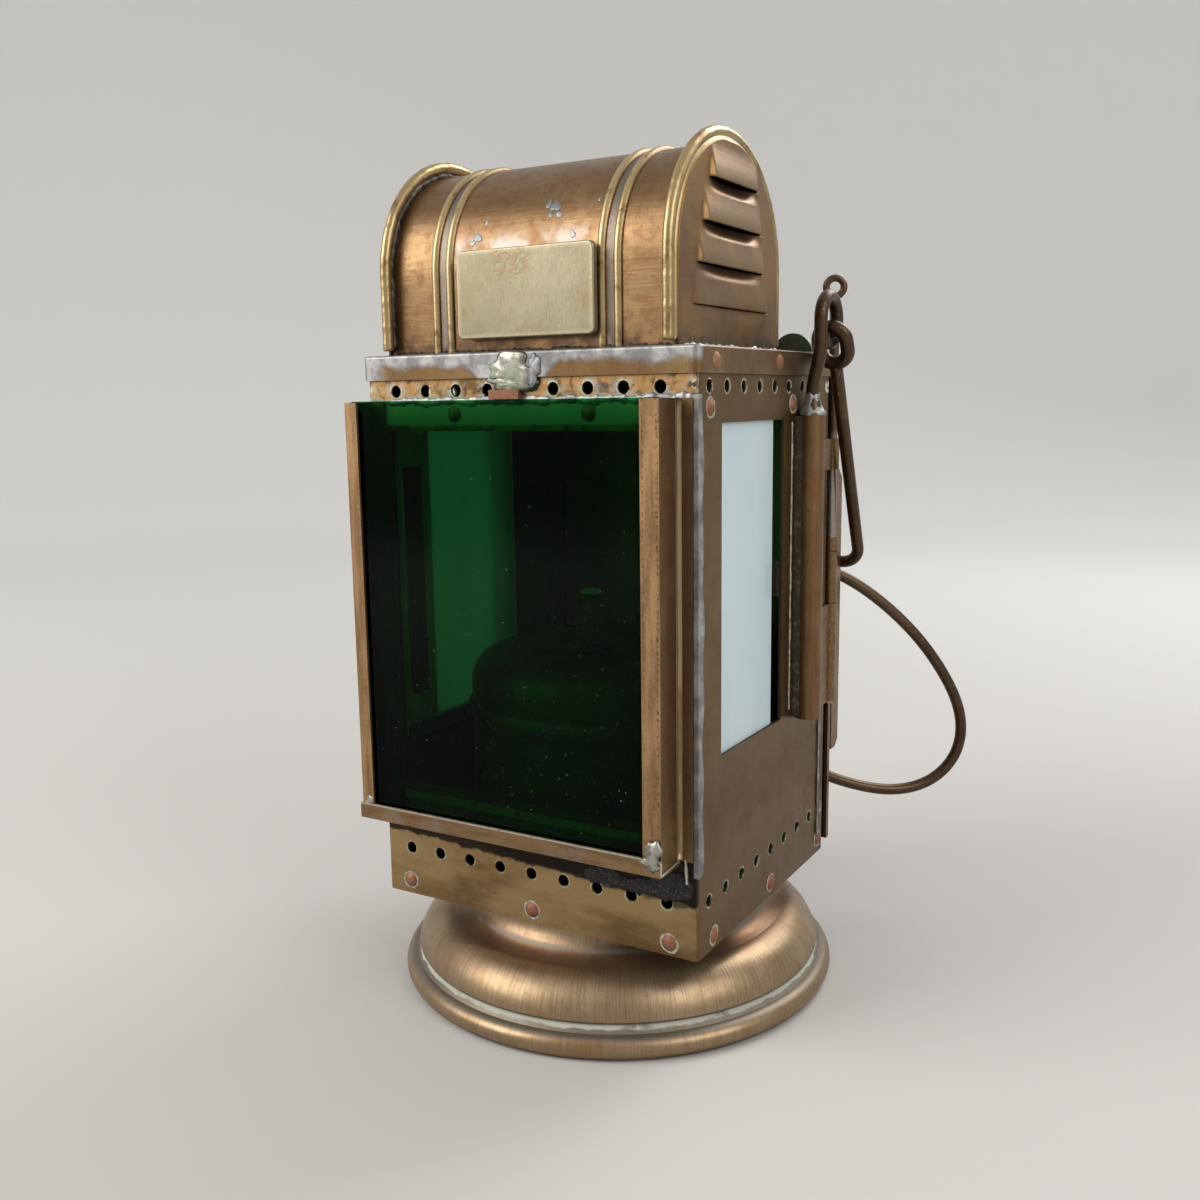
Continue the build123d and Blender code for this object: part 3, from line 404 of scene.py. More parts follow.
case_finish = Finish("aged_case_brass", None, None)
case_finish.age(brown, deep_brown, bright_brass, 0.42, 0.30, 0.37)
case_finish.drawn((1.0, 1.0, 0.03), 0.0008, 0.16)
x_way, y_way, z_way = case_finish.ways()
skin_deep = 0.0012
skin_thin = 0.0002
on_front = rise(y_way, case_low.y + skin_deep, case_low.y + skin_thin)
on_side = rise(size_of(x_way), case_high.x - skin_deep, case_high.x - skin_thin)
# the sides are a shade warmer than the front
side_brown = (0.125, 0.070, 0.022)
case_finish.lay(times(on_side, 0.5), side_brown, metal=1.0)
# the strip under the lid has golden patches, and smoky ones over them
patchy = case_finish.clouds(0.006, 5.0)
upper_strip = times(on_front, rise(z_way, 0.192, 0.195))
golden = times(upper_strip, rise(patchy, 0.40, 0.52))
case_finish.lay(times(golden, 0.70), (0.44, 0.235, 0.085), rough=0.46)
smoke = rise(case_finish.clouds(0.004, 5.0), 0.55, 0.66)
smoky = times(upper_strip, smoke)
case_finish.lay(times(smoky, 0.8), (0.06, 0.035, 0.028), rough=0.5)
# the strip at the foot is rubbed bright, and dark under the trough with painted shadow of the trough, over
# the scorch where solder was run over it
low_strip = times(on_front, rise(z_way, 0.062, 0.058))
low_cloud = rise(case_finish.clouds(0.016, 5.0, (0.4, 1.0, 1.0)), 0.34, 0.62)
polished = times(low_strip, low_cloud, 0.6)
case_finish.lay(polished, (0.44, 0.30, 0.145), rough=0.43)
ragged = times(case_finish.clouds(0.010, 6.0), 0.016)
dark_band_edge = plus(times(x_way, -0.085), 0.0480)
scorch_and_shadow_line = plus(dark_band_edge, ragged)
# painted shadow of the trough, with scorch, above the ragged line
scorch_and_shadow = times(rise(less(z_way, scorch_and_shadow_line), -0.001, 0.001), low_strip)
case_finish.lay(times(scorch_and_shadow, 0.85), (0.040, 0.036, 0.034), rough=0.62, height=0.4)
# salts round the air holes, green in the lower row, paler and wider in the upper one
side_row = (y_way, side_pitch, side_start, on_side)
for along, pitch, start, side in ((x_way, front_low_pitch, 0.0, on_front), side_row):
    ring, halo = rim_masks(case_finish, along, z_way, pitch, start, vent_low_line)
    broken = rise(case_finish.clouds(0.0022, 3.0), 0.42, 0.56)
    ring = times(ring, side, broken)
    case_finish.lay(times(ring, 0.85), verdigris, rough=0.75, metal=0.2, height=0.6)
for along, pitch, start, side in ((x_way, front_high_pitch, 0.0, on_front), side_row):
    ring, halo = rim_masks(case_finish, along, z_way, pitch, start, vent_high_line)
    broken = rise(case_finish.clouds(0.0024, 3.0), 0.40, 0.54)
    halo = times(halo, on_front, broken)
    case_finish.lay(times(halo, 0.55), (0.42, 0.42, 0.36), rough=0.6, metal=0.6)
    ring = times(ring, side, broken)
    case_finish.lay(times(ring, 0.9), (0.62, 0.60, 0.46), rough=0.7, metal=0.3, height=0.6)
# the sides darken between the lower air holes and the windows
window_foot = times(on_side, rise(z_way, 0.094, 0.080), rise(z_way, 0.060, 0.078))
case_finish.lay(times(window_foot, 0.35), deep_brown)
# a grey crust along the top of the glass opening, and a dark band under the trough: painted shadow of the
# trough, over burnt solder
crust_rag = times(case_finish.clouds(0.005, 5.0), -0.006)
crust_line = plus(z_way, crust_rag)
crust = times(on_front, rise(crust_line, 0.2018, 0.2006), rise(z_way, 0.195, 0.196))
case_finish.lay(times(crust, 0.8), (0.34, 0.35, 0.29), rough=0.75, metal=0.2, height=0.7)
shade_line = plus(times(x_way, 0.045), z_way)
shade_rag = times(case_finish.clouds(0.005, 5.0), 0.004)
shade_line = plus(shade_line, shade_rag)
trough_shadow_band = times(on_front, rise(shade_line, 0.0556, 0.0566), rise(z_way, 0.075, 0.068))
case_finish.lay(times(trough_shadow_band, 0.93), (0.016, 0.012, 0.010), rough=0.6, metal=0.95)
# the inside is bare, and painted near black as painted shade of the dark interior
within = rise(size_of(x_way), case_high.x - 0.0002, case_high.x - 0.0006)
within = times(within, rise(y_way, case_low.y + 0.0002, case_low.y + 0.0006))
case_finish.lay(within, (0.012, 0.009, 0.007), rough=0.75, metal=0.1)
case_finish.shade_and_grime(0.0035, shade_and_soot, 0.7)
dress(case_finish.seal(0.25), "case_shell", "floor_pan", "top_frame")


# Foot. Spun from one disc of brass, with a rolled bead that stands on the table, a hollow
# groove, a round shoulder and a collar under the case. Fine rings from the spinning tool
# cross it, and pale green salts fill the groove over the bead.
foot_finish = Finish("aged_foot_brass", None, None)
foot_tree = foot_finish.tree
foot_finish.age((0.290, 0.208, 0.122), (0.165, 0.104, 0.058), (0.47, 0.37, 0.235), 0.50, 0.5, 0.37)
x_way, y_way, z_way = foot_finish.ways()
turn = reckon("ARCTAN2", y_way, x_way)
# rings left by the spinning tool
round_foot = times(turn, 0.07)
up_foot = times(z_way, 0.05)
streak_place = put(foot_tree, "CombineXYZ", {0: round_foot, 1: up_foot}).outputs[0]
streaks = clouds(streak_place, 0.0006, 3.0)
streak_mask = times(rise(streaks, 0.42, 0.66), 0.42)
foot_finish.lay(streak_mask, (0.16, 0.085, 0.042))
# a copper tone under the crease, and the crease itself worn grey
glow_height = 0.0245
copper_glow = times(rise(z_way, 0.0215, glow_height), rise(z_way, 0.030, glow_height))
foot_finish.lay(times(copper_glow, 0.6), (0.22, 0.100, 0.050))
crease_height = 0.0266
off_crease = size_of(less(z_way, crease_height))
crease_line = rise(off_crease, 0.0009, 0.0003)
crease_cloud = rise(foot_finish.clouds(0.008, 4.0), 0.36, 0.52)
crease = times(crease_line, crease_cloud, 0.6)
foot_finish.lay(crease, (0.20, 0.20, 0.185), rough=0.6)
# a warm bead, a grey groove over it and the line of salts in the groove
bead_warm = times(rise(z_way, 0.006, 0.002), 0.5)
foot_finish.lay(bead_warm, (0.32, 0.215, 0.118))
groove_low = rise(z_way, 0.0062, 0.0078)
groove_high = rise(z_way, 0.0122, 0.0104)
groove = times(groove_low, groove_high)
foot_finish.lay(times(groove, 0.75), (0.165, 0.152, 0.130), rough=0.5)
salt_rag = times(foot_finish.clouds(0.006, 4.0), 0.0016)
salt_low = rise(plus(z_way, salt_rag), 0.0094, 0.0099)
salt_high = rise(z_way, 0.0106, 0.0098)
salt_cloud = rise(foot_finish.clouds(0.011, 5.0), 0.30, 0.48)
salts = times(salt_low, salt_high, salt_cloud)
foot_finish.lay(times(salts, 0.92), (0.45, 0.47, 0.40), rough=0.85, metal=0.0, height=0.8)
foot_finish.shade_and_grime(0.004, shade_and_soot, 0.7)
dress(foot_finish.seal(0.2), "foot_shell", "foot_bottom")


# Gas maker. The carbide pot, its rubber ring, the water tank with its cap and the burner
# stand inside the case; the brass is sooty, and the tip is white steatite.
tank_finish = Finish("sooty_tank_brass", None, None)
tank_finish.age((0.075, 0.060, 0.040), (0.025, 0.020, 0.015), (0.16, 0.13, 0.085), 0.4, 0.6, 0.46)
tank_finish.shade_and_grime(0.004, shade_and_soot, 0.7)
dress(tank_finish.seal(), "water_tank", "filler_cap", "burner_tube", "burner_core", "carbide_pot")

steatite_finish = Finish("steatite_tip", (0.72, 0.68, 0.60), 0.6, 0.0)
stain = rise(steatite_finish.clouds(0.003), 0.45, 0.65)
steatite_finish.lay(times(stain, 0.5), (0.42, 0.34, 0.25))
dress(steatite_finish.seal(), "burner_tip")

rubber_finish = Finish("gasket_rubber", (0.035, 0.034, 0.033), 0.65, 0.0)
powder = rise(rubber_finish.clouds(0.004), 0.5, 0.75)
rubber_finish.lay(times(powder, 0.4), (0.16, 0.155, 0.15), rough=0.85)
dress(rubber_finish.seal(), "pot_gasket")


# Rivets. Copper, hammered over cold along the foot of the case, under the lid and on the
# lid's sides. A thin pale ring of salts and old solder stands round each head.
copper_finish = Finish("hammered_copper", None, None)
copper_finish.age((0.265, 0.116, 0.072), (0.15, 0.066, 0.038), (0.33, 0.17, 0.10), 0.5, 0.5, 0.62)
scuffs = rise(copper_finish.clouds(0.0009, 4.0), 0.56, 0.70)
copper_finish.lay(times(scuffs, 0.5), (0.33, 0.19, 0.125), rough=0.5)
copper_finish.shade_and_grime(0.0012, (0.12, 0.06, 0.04), 0.6)
dress(copper_finish.seal(0.35), "rivets_front", "rivets_right", "rivets_left", "rivets_lid")

rivet_head = 2.6 * mm
ring_width = 0.75 * mm
ring_rise = 0.16 * mm


def rivet_rings(name, centres, out, along, seed):
    """Thin uneven rings. Each is a half-round section (s across, h = rise * sin) carried round a
    circle of the rivet's radius, whose width and rise waver by a few slow waves."""
    chance = np.random.default_rng(seed)
    centres = np.array(centres, float)[:, None, None, :]
    t = np.linspace(0, 2 * np.pi, 40, endpoint=False)[None, :, None]
    s = np.linspace(0, 2 * np.pi, 8, endpoint=False)[None, None, :]
    phase = chance.uniform(0, 2 * np.pi, (len(centres), 3))[:, :, None, None]
    wave = 1 + 0.22 * np.sin(2 * t + phase[:, 0]) + 0.16 * np.sin(5 * t + phase[:, 1])
    wave = wave + 0.08 * np.sin(9 * t + phase[:, 2])
    half = 0.5 * ring_width * wave
    reach = rivet_head + half * (0.7 + np.cos(s))
    lift = ring_rise * wave * np.where(np.sin(s) > 0, np.sin(s), 0.4 * np.sin(s))
    out, along = np.array(out, float), np.array(along, float)
    across = np.cross(out, along)
    points = centres + (reach * np.cos(t))[..., None] * along + (reach * np.sin(t))[..., None] * across
    points = points + lift[..., None] * out
    rings = [grid_mesh(name, points[n], True, True) for n in range(len(points))]
    with bpy.context.temp_override(active_object=rings[0], selected_editable_objects=rings, object=rings[0]):
        bpy.ops.object.join()
    set_outward(rings[0])
    return rings[0]


def set_outward(made):
    """Merges doubled points and turns every face of a closed mesh outwards."""
    shell = bmesh.new()
    shell.from_mesh(made.data)
    bmesh.ops.remove_doubles(shell, verts=shell.verts, dist=1e-7)
    bmesh.ops.recalc_face_normals(shell, faces=shell.faces)
    shell.to_mesh(made.data)
    shell.free()


salt_finish = Finish("pale_salts", (0.36, 0.38, 0.30), 0.8, 0.0)
greyer = rise(salt_finish.clouds(0.002, 4.0), 0.40, 0.60)
salt_finish.lay(greyer, (0.22, 0.21, 0.18), rough=0.6)
browner = rise(salt_finish.clouds(0.0035, 4.0), 0.52, 0.66)
salt_finish.lay(times(browner, 0.7), brown, rough=0.5)
salt_material = salt_finish.seal()

front_face = case_low.y
side_face = case_high.x
front_rivets = [(x * mm, front_face, z * mm) for x, z in ((-50.3, 39.0), (0.0, 38.4), (50.3, 38.2))]
side_rivets = [(-45.1, 38.4), (0.5, 38.8), (46.0, 39.6), (-48.0, 200.2), (16.3, 200.6)]
ring_sets = {
    "rivet_rings_front": (front_rivets, (0, -1, 0), (1, 0, 0), 3),
    "rivet_rings_right": ([(side_face, y * mm, z * mm) for y, z in side_rivets], (1, 0, 0), (0, 1, 0), 4),
    "rivet_rings_left": ([(-side_face, y * mm, z * mm) for y, z in side_rivets], (-1, 0, 0), (0, 1, 0), 5),
}
for name, (centres, out, along, seed) in ring_sets.items():
    ring_piece = rivet_rings(name, centres, out, along, seed)
    ring_piece.data.materials.append(salt_material)
    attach(ring_piece, "lamp")


# Lid. A shallow cover turned down at its edges. Its front was mended with soft solder that
# ran grey over the edge, with a thick lump at the middle over a copper tab.
lid_low, lid_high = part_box("lid")
lid_finish = Finish("aged_lid_brass", None, None)
lid_finish.age((0.155, 0.088, 0.036), (0.08, 0.042, 0.020), (0.31, 0.205, 0.095), 0.4, 0.3, 0.38)
lid_finish.drawn((1.0, 1.0, 0.04), 0.0009, 0.2)
x_way, y_way, z_way = lid_finish.ways()
lid_ragged = lid_finish.clouds(0.018, 5.0)
# solder over the front of the lid, down to a ragged line with a tongue in its middle
soldered_front = rise(y_way, lid_low.y + 0.0030, lid_low.y + 0.0016)
from_tongue = size_of(plus(x_way, 0.002))
tongue = times(rise(from_tongue, 0.018, 0.010), 0.006)
run_down = plus(times(lid_ragged, 0.009), 0.2094)
run_down = less(run_down, tongue)
over_run = rise(less(z_way, run_down), -0.0012, 0.0014)
lid_solder = times(soldered_front, over_run)
left_end = times(rise(x_way, -0.050, -0.056), soldered_front)
lid_solder = larger(lid_solder, left_end)
near_front = rise(y_way, lid_low.y + 0.006, lid_low.y + 0.003)
near_top = rise(z_way, lid_high.z - 0.0012, lid_high.z - 0.0004)
top_edge = times(near_front, near_top)
lid_solder = larger(lid_solder, top_edge)
solder_shade = (0.17, 0.172, 0.18, 1.0)
lid_light = (0.36, 0.362, 0.36, 1.0)
grey_cloud = tint(rise(lid_finish.clouds(0.005, 5.0), 0.36, 0.66), solder_shade, lid_light)
lid_finish.lay(times(lid_solder, 0.92), grey_cloud, rough=0.46, height=0.7)
lid_finish.shade_and_grime(0.004, shade_and_soot, 0.75)
dress(lid_finish.seal(0.3), "lid")
dress(copper_finish.material, "lid_tab")


# Solder. Tin and lead run along the joints with a copper iron. It sets grey with pale and
# dark crystals, stands a little proud of the brass and ends in an uneven edge.
solder_finish = Finish("run_solder", None, 0.42)
crystals = solder_finish.clouds(0.0060, 4.0)
solder_light = (0.31, 0.312, 0.315, 1.0)
solder_finish.colour = tint(rise(crystals, 0.36, 0.64), solder_shade, solder_light)
solder_finish.relief = crystals
chalk = rise(solder_finish.clouds(0.006, 5.0), 0.54, 0.66)
solder_finish.lay(times(chalk, 0.35), (0.42, 0.43, 0.38), rough=0.6, metal=0.5)
solder_finish.shade_and_grime(0.002, shade_and_soot, 0.7)
solder_material = solder_finish.seal(0.5)
dress(solder_material, "corner_solder")

patch_finish = Finish("solder_patch", None, 0.36)
plates = patch_finish.clouds(0.0034, 6.0)
patch_shade = (0.16, 0.155, 0.14, 1.0)
patch_light = (0.37, 0.36, 0.31, 1.0)
patch_finish.colour = tint(rise(plates, 0.38, 0.60), patch_shade, patch_light)
patch_finish.relief = plates
chalk = rise(patch_finish.clouds(0.005, 5.0), 0.50, 0.60)
patch_finish.lay(times(chalk, 0.7), (0.34, 0.37, 0.27), rough=0.75, metal=0.3)
patch_material = patch_finish.seal(0.7)

# about one turn in radians: a wave starts anywhere within it
full_turn = 6.28


def along_path(points, count):
    """Evenly spaced points along a run of corners, with the direction at each."""
    points = np.array(points, float)
    steps = np.linalg.norm(np.diff(points, axis=0), axis=1)
    travelled = np.concatenate([[0.0], np.cumsum(steps)])
    at = np.linspace(0.0, travelled[-1], count)
    line = np.stack([np.interp(at, travelled, points[:, k]) for k in range(3)], -1)
    heading = np.gradient(line, axis=0)
    return line, heading / np.linalg.norm(heading, axis=1)[:, None]


def solder_run(name, points, out, half_width, height, waver, seed, material, body="lamp"):
    """A bead of solder: a flattened round section (s across, h = height * sin) carried along a path. Its
    width and height waver by slow waves and shrink to a point at both ends."""
    chance = np.random.default_rng(seed)
    length = float(np.linalg.norm(np.diff(np.array(points, float), axis=0), axis=1).sum())
    count = max(24, int(length / 0.0007))
    line, heading = along_path(points, count)
    out = np.broadcast_to(np.array(out, float), line.shape)
    side = np.cross(heading, out)
    side /= np.linalg.norm(side, axis=1)[:, None]
    t = np.linspace(0.0, 1.0, count)
    wave = np.zeros(count)
    for size in (0.020, 0.009, 0.0045, 0.0024):
        phase = 2 * np.pi * t * length / size + chance.uniform(0, full_turn)
        wave += np.sin(phase) * chance.uniform(0.5, 1.0)
    drift = np.sin(2 * np.pi * t * length / 0.015 + chance.uniform(0, full_turn))
    ends = np.sqrt(np.clip(np.minimum(t, 1 - t) * length / (1.2 * half_width), 0.0, 1.0))
    wide = half_width * ends * (1.0 + waver * wave / 2.4)
    tall = height * ends * (1.0 + 0.5 * waver * wave)
    s = np.linspace(0.0, 2 * np.pi, 12, endpoint=False)
    up = np.where(np.sin(s) > 0, np.sin(s), 0.35 * np.sin(s))
    shift = (0.35 * waver * half_width * drift)[:, None]
    across = wide[:, None] * np.cos(s) + shift
    points = line[:, None, :] + across[..., None] * side[:, None, :]
    points = points + (tall[:, None] * up)[..., None] * out[:, None, :]
    made = grid_mesh(name, points, ring_v=True)
    set_outward(made)
    made.data.materials.append(material)
    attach(made, body)
    return made


def solder_drop(name, middle, out, along, sizes, seed, material, body="lamp"):
    """A drop that spread on the metal: h = rise * (1 - r^2)^0.6 over an outline whose reach wavers
    with the angle, closed below by a flat floor just under the surface."""
    chance = np.random.default_rng(seed)
    long_way, short_way, rise_by = sizes
    out, along = np.array(out, float), np.array(along, float)
    across = np.cross(out, along)
    t = np.linspace(0, 2 * np.pi, 36, endpoint=False)[None, :]
    r = np.concatenate([np.linspace(0.0, 1.0, 9), np.linspace(0.95, 0.0, 3)])[:, None]
    reach = 1 + 0.20 * np.sin(2 * t + chance.uniform(0, full_turn))
    reach = reach + 0.13 * np.sin(3 * t + chance.uniform(0, full_turn))
    reach = reach + 0.09 * np.sin(7 * t + chance.uniform(0, full_turn))
    dome = np.clip(1 - r ** 2, 0.0, 1.0) ** 0.6 * rise_by
    under = np.arange(len(r))[:, None] > 8
    lift = np.where(under, -0.2 * rise_by, dome)
    ripple = 0.14 * rise_by * np.sin(5 * t + 9 * r + chance.uniform(0, full_turn)) * r
    lift = lift + np.where(under | (r > 0.95), 0.0, ripple)
    points = np.array(middle, float) + (long_way * r * reach * np.cos(t))[..., None] * along
    points = points + (short_way * r * reach * np.sin(t))[..., None] * across + lift[..., None] * out
    made = grid_mesh(name, points, ring_v=True)
    set_outward(made)
    made.data.materials.append(material)
    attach(made, body)
    return made


patch_run = solder_drop("lid_patch_run", (-0.0022, lid_low.y - 0.0001, 0.2122), (0, -1, 0), (1, 0, 0),
                        (9.0 * mm, 4.8 * mm, 0.8 * mm), 23, patch_material)
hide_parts("lid_patch")
solder_drop("lid_patch_foot", (-0.0026, front_face - 0.0005, 0.2082), (0, -1, 0), (1, 0, 0),
            (8.8 * mm, 3.0 * mm, 1.3 * mm), 26, patch_material)
solder_drop("lid_patch_tongue", (0.0062, lid_low.y - 0.0001, 0.2120), (0, -1, 0), (0, 0, 1),
            (4.6 * mm, 2.4 * mm, 0.4 * mm), 19, solder_material)


# Hood. A sheet bent over in an arch and stiffened by two pairs of rolled ribs, between two
# pressed ends with rolled rims and slits. The ribs and rims are rubbed and carry painted
# highlights, and the sheet keeps brown clouds and a few splashes of solder.
hood_low, hood_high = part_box("hood_skin")
hood_middle = 0.5 * (hood_low.y + hood_high.y)
hood_centre = 0.2426
hood_radius = 0.0355


def hood_brass(name):
    """A finish in the hood's brown brass, and its three directions."""
    made = Finish(name, None, None)
    made.age((0.190, 0.112, 0.050), (0.090, 0.045, 0.022), (0.34, 0.225, 0.105), 0.40, 0.5, 0.35)
    return made, made.ways()


def from_arch_line(y_way, z_way):
    """How far a place is from the middle line of the arch, level with it on the straight legs."""
    off_middle = less(y_way, hood_middle)
    off_centre = larger(less(z_way, hood_centre), 0.0)
    return length_of(off_middle, off_centre)


skin_finish, (x_way, y_way, z_way) = hood_brass("aged_hood_brass")
skin_finish.drawn((0.05, 1.0, 1.0), 0.0009, 0.22)
freckles = rise(skin_finish.clouds(0.0032, 5.0), 0.50, 0.62)
skin_finish.lay(times(freckles, 0.5), (0.15, 0.062, 0.026), rough=0.42)
out_from = from_arch_line(y_way, z_way)
# the ribs are rubbed at their crowns and painted bright there as a highlight, and grey between the two of a
# pair
crown_highlight = rise(out_from, hood_radius + 0.0003, hood_radius + 0.0011)
crown_highlight = times(crown_highlight, rise(skin_finish.clouds(0.006, 4.0), 0.30, 0.46))
skin_finish.lay(times(crown_highlight, 0.8), (0.50, 0.39, 0.20), rough=0.33)
across_hood = size_of(x_way)
rib_pair = 0.03025
off_pair = size_of(less(across_hood, rib_pair))
between = rise(off_pair, 0.0014, 0.0006)
skin_finish.lay(times(between, 0.75), (0.17, 0.16, 0.145), rough=0.45)
# dark at the foot, and a band of wiped solder over the plate
foot_dark = rise(z_way, hood_low.z + 0.010, hood_low.z + 0.001)
foot_dark = times(foot_dark, rise(skin_finish.clouds(0.006, 4.0), 0.40, 0.62))
skin_finish.lay(times(foot_dark, 0.7), (0.05, 0.028, 0.020), rough=0.5)
plate_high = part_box("bare_plate")[1]
grey_band = rise(z_way, plate_high.z + 0.0075, plate_high.z + 0.001)
grey_band = times(grey_band, rise(across_hood, 0.0262, 0.0250))
grey_band = times(grey_band, rise(z_way, plate_high.z - 0.006, plate_high.z - 0.002))
smear = rise(skin_finish.clouds(0.010, 5.0), 0.36, 0.60)
grey_band = times(grey_band, times(smear, 0.65))
skin_finish.lay(grey_band, (0.30, 0.29, 0.27), rough=0.36)
inner_skin = rise(out_from, hood_radius - 0.0003, hood_radius - 0.0007)
skin_finish.lay(inner_skin, (0.012, 0.009, 0.007), rough=0.75, metal=0.1)
skin_finish.shade_and_grime(0.003, shade_and_soot, 0.7)
dress(skin_finish.seal(0.22), "hood_skin")

end_finish, (x_way, y_way, z_way) = hood_brass("aged_hood_end")
end_finish.drawn((1.0, 0.05, 1.0), 0.0009, 0.15)
out_from = from_arch_line(y_way, z_way)
# golden patches, louvre lips paler as a painted sheen, hollows under the slits darker as painted shade, a
# dark foot and a rim painted bright as a highlight
gold_patch = rise(end_finish.clouds(0.022, 4.0), 0.46, 0.62)
end_finish.lay(times(gold_patch, 0.6), (0.30, 0.165, 0.055), rough=0.38)
lip_sheen = rise(size_of(x_way), 0.0530, 0.0543)
end_finish.lay(times(lip_sheen, 0.35), (0.24, 0.175, 0.095), rough=0.40)
hollow_shade = times(rise(size_of(x_way), 0.0525, 0.0512), rise(out_from, 0.0345, 0.0325))
end_finish.lay(times(hollow_shade, 0.8), (0.085, 0.045, 0.030), rough=0.65)
end_foot = rise(z_way, hood_low.z + 0.0055, hood_low.z + 0.0010)
end_foot = times(end_foot, rise(end_finish.clouds(0.004, 5.0), 0.36, 0.56))
end_finish.lay(times(end_foot, 0.8), (0.075, 0.055, 0.048), rough=0.55, height=0.4)
# a painted highlight along the rolled rim
rim = times(rise(out_from, 0.0362, 0.0374), rise(end_finish.clouds(0.007, 4.0), 0.30, 0.50))
end_finish.lay(times(rim, 0.75), (0.44, 0.335, 0.165), rough=0.32)
end_finish.shade_and_grime(0.0025, shade_and_soot, 0.8)
end_material = end_finish.seal(0.2)
soot_material = Finish("hood_soot", (0.012, 0.009, 0.007), 0.8, 0.1).seal()

cap_face = 0.0528
cap_radius = 0.0388
flat_radius = 0.0362
# each slit: from y, to y, height, how far its lip stands out, how far the sheet is pressed in
louvre_rows = [(-44.9, 11.2, 229.9, 0.8, 0.35), (-42.0, 7.5, 241.8, 1.3, 2.0), (-38.2, 5.2, 253.8, 1.5, 2.8),
               (-33.6, 2.6, 266.6, 1.5, 3.0)]


def eased(t):
    """0 to 1 with level ends: 3 t^2 - 2 t^3."""
    t = np.clip(t, 0.0, 1.0)
    return t * t * (3.0 - 2.0 * t)


def louvred_sheet(name, side):
    """The face of a hood end as x over (y, z). Over each slit a lip stands out, out * eased(from its
    ends) * (1 - eased(height / 11 mm)); under it the sheet is pressed in, in * (1 - q^2) *
    (1 - eased(depth / 4.5 mm)), where q goes from -1 to 1 along the slit."""
    levels = [hood_low.z] + [row[2] * mm for row in louvre_rows] + [hood_centre + flat_radius]
    bands = []
    for number, (low, high) in enumerate(zip(levels[:-1], levels[1:])):
        z = np.linspace(low, high, int(round((high - low) / 0.0005)) + 1)[:, None]
        above = np.clip(z - hood_centre, 0.0, flat_radius)
        y = hood_middle - side * np.sqrt(flat_radius ** 2 - above ** 2) * np.linspace(-1.0, 1.0, 151)[None, :]
        x = np.full(y.shape, cap_face)
        if number > 0:
            start, stop, line, out = np.array(louvre_rows[number - 1][:4]) * mm
            ends = eased((y - start) / 0.0022) * eased((stop - y) / 0.0042)
            x = x + out * ends * (1.0 - eased((z - line) / 0.0110))
        if number < len(louvre_rows):
            start, stop, line, _, sunk = np.array(louvre_rows[number]) * mm
            q = (2.0 * y - start - stop) / (stop - start)
            x = x - sunk * np.clip(1.0 - q * q, 0.0, 1.0) * (1.0 - eased((line - z) / 0.0045))
        bands.append(grid_mesh(name, np.stack([side * x, y, np.broadcast_to(z, y.shape)], -1)))
    with bpy.context.temp_override(active_object=bands[0], selected_editable_objects=bands, object=bands[0]):
        bpy.ops.object.join()
    sheet = bands[0]
    shell = bmesh.new()
    shell.from_mesh(sheet.data)
    bmesh.ops.remove_doubles(shell, verts=shell.verts, dist=1e-6)
    shell.to_mesh(sheet.data)
    shell.free()
    wall = sheet.modifiers.new("wall", "SOLIDIFY")
    wall.thickness = 0.0008
    wall.offset = -1.0
    wall.material_offset = 1
    return sheet


def closed_run(name, rings):
    """A skin over rings of points along a path, drawn to the middle of its first and last ring."""
    first = np.broadcast_to(rings[0].mean(0), rings[0].shape)
    last = np.broadcast_to(rings[-1].mean(0), rings[-1].shape)
    made = grid_mesh(name, np.concatenate([first[None], rings, last[None]]), ring_v=True)
    set_outward(made)
    return made


def cap_rim(name, side, seed):
    """The rolled rim of a hood end: a rounded edge, a fine valley and a bead (r outwards, x backwards)
    carried up one side, round the arch and down the other. Slow waves stand for the hammer."""
    chance = np.random.default_rng(seed)
    edge = np.radians(np.linspace(90.0, 48.0, 9))
    bead = np.radians(np.linspace(140.0, -140.0, 25))
    profile_r = np.concatenate([-3.4 + 2.6 * np.cos(edge), 1.72 * np.cos(bead), [-3.4]]) * mm
    profile_x = np.concatenate([-2.6 + 2.6 * np.sin(edge), -2.05 + 1.72 * np.sin(bead), [-1.6]]) * mm
    foot, leg = hood_low.z + 0.0015, 26
    turn = np.concatenate([np.full(leg, np.pi), np.linspace(np.pi, 0.0, 121), np.zeros(leg)])
    rise_z = np.concatenate([np.linspace(foot, hood_centre, leg, endpoint=False), np.full(121, hood_centre),
                             np.linspace(foot, hood_centre, leg, endpoint=False)[::-1]])
    along = np.linspace(0.0, 1.0, len(turn))
    wave = sum(np.sin(2 * np.pi * along * count + chance.uniform(0, full_turn)) for count in (23, 37, 58))
    reach = cap_radius + profile_r[None, :] + 0.000045 * wave[:, None] * (profile_r > -0.001)[None, :]
    points = np.stack([
        side * np.broadcast_to(cap_face + profile_x, reach.shape),
        hood_middle + reach * np.cos(turn)[:, None],
        rise_z[:, None] + reach * np.sin(turn)[:, None],
    ], -1)
    return closed_run(name, points)


for side, word in ((1, "right"), (-1, "left")):
    sheet = louvred_sheet("louvred_sheet_" + word, side)
    sheet.data.materials.append(end_material)
    sheet.data.materials.append(soot_material)
    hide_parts("hood_end_" + word)
    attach(sheet, "lamp")
    rolled = cap_rim("cap_rim_" + word, side, 30 + side)
    rolled.data.materials.append(end_material)
    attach(rolled, "lamp")

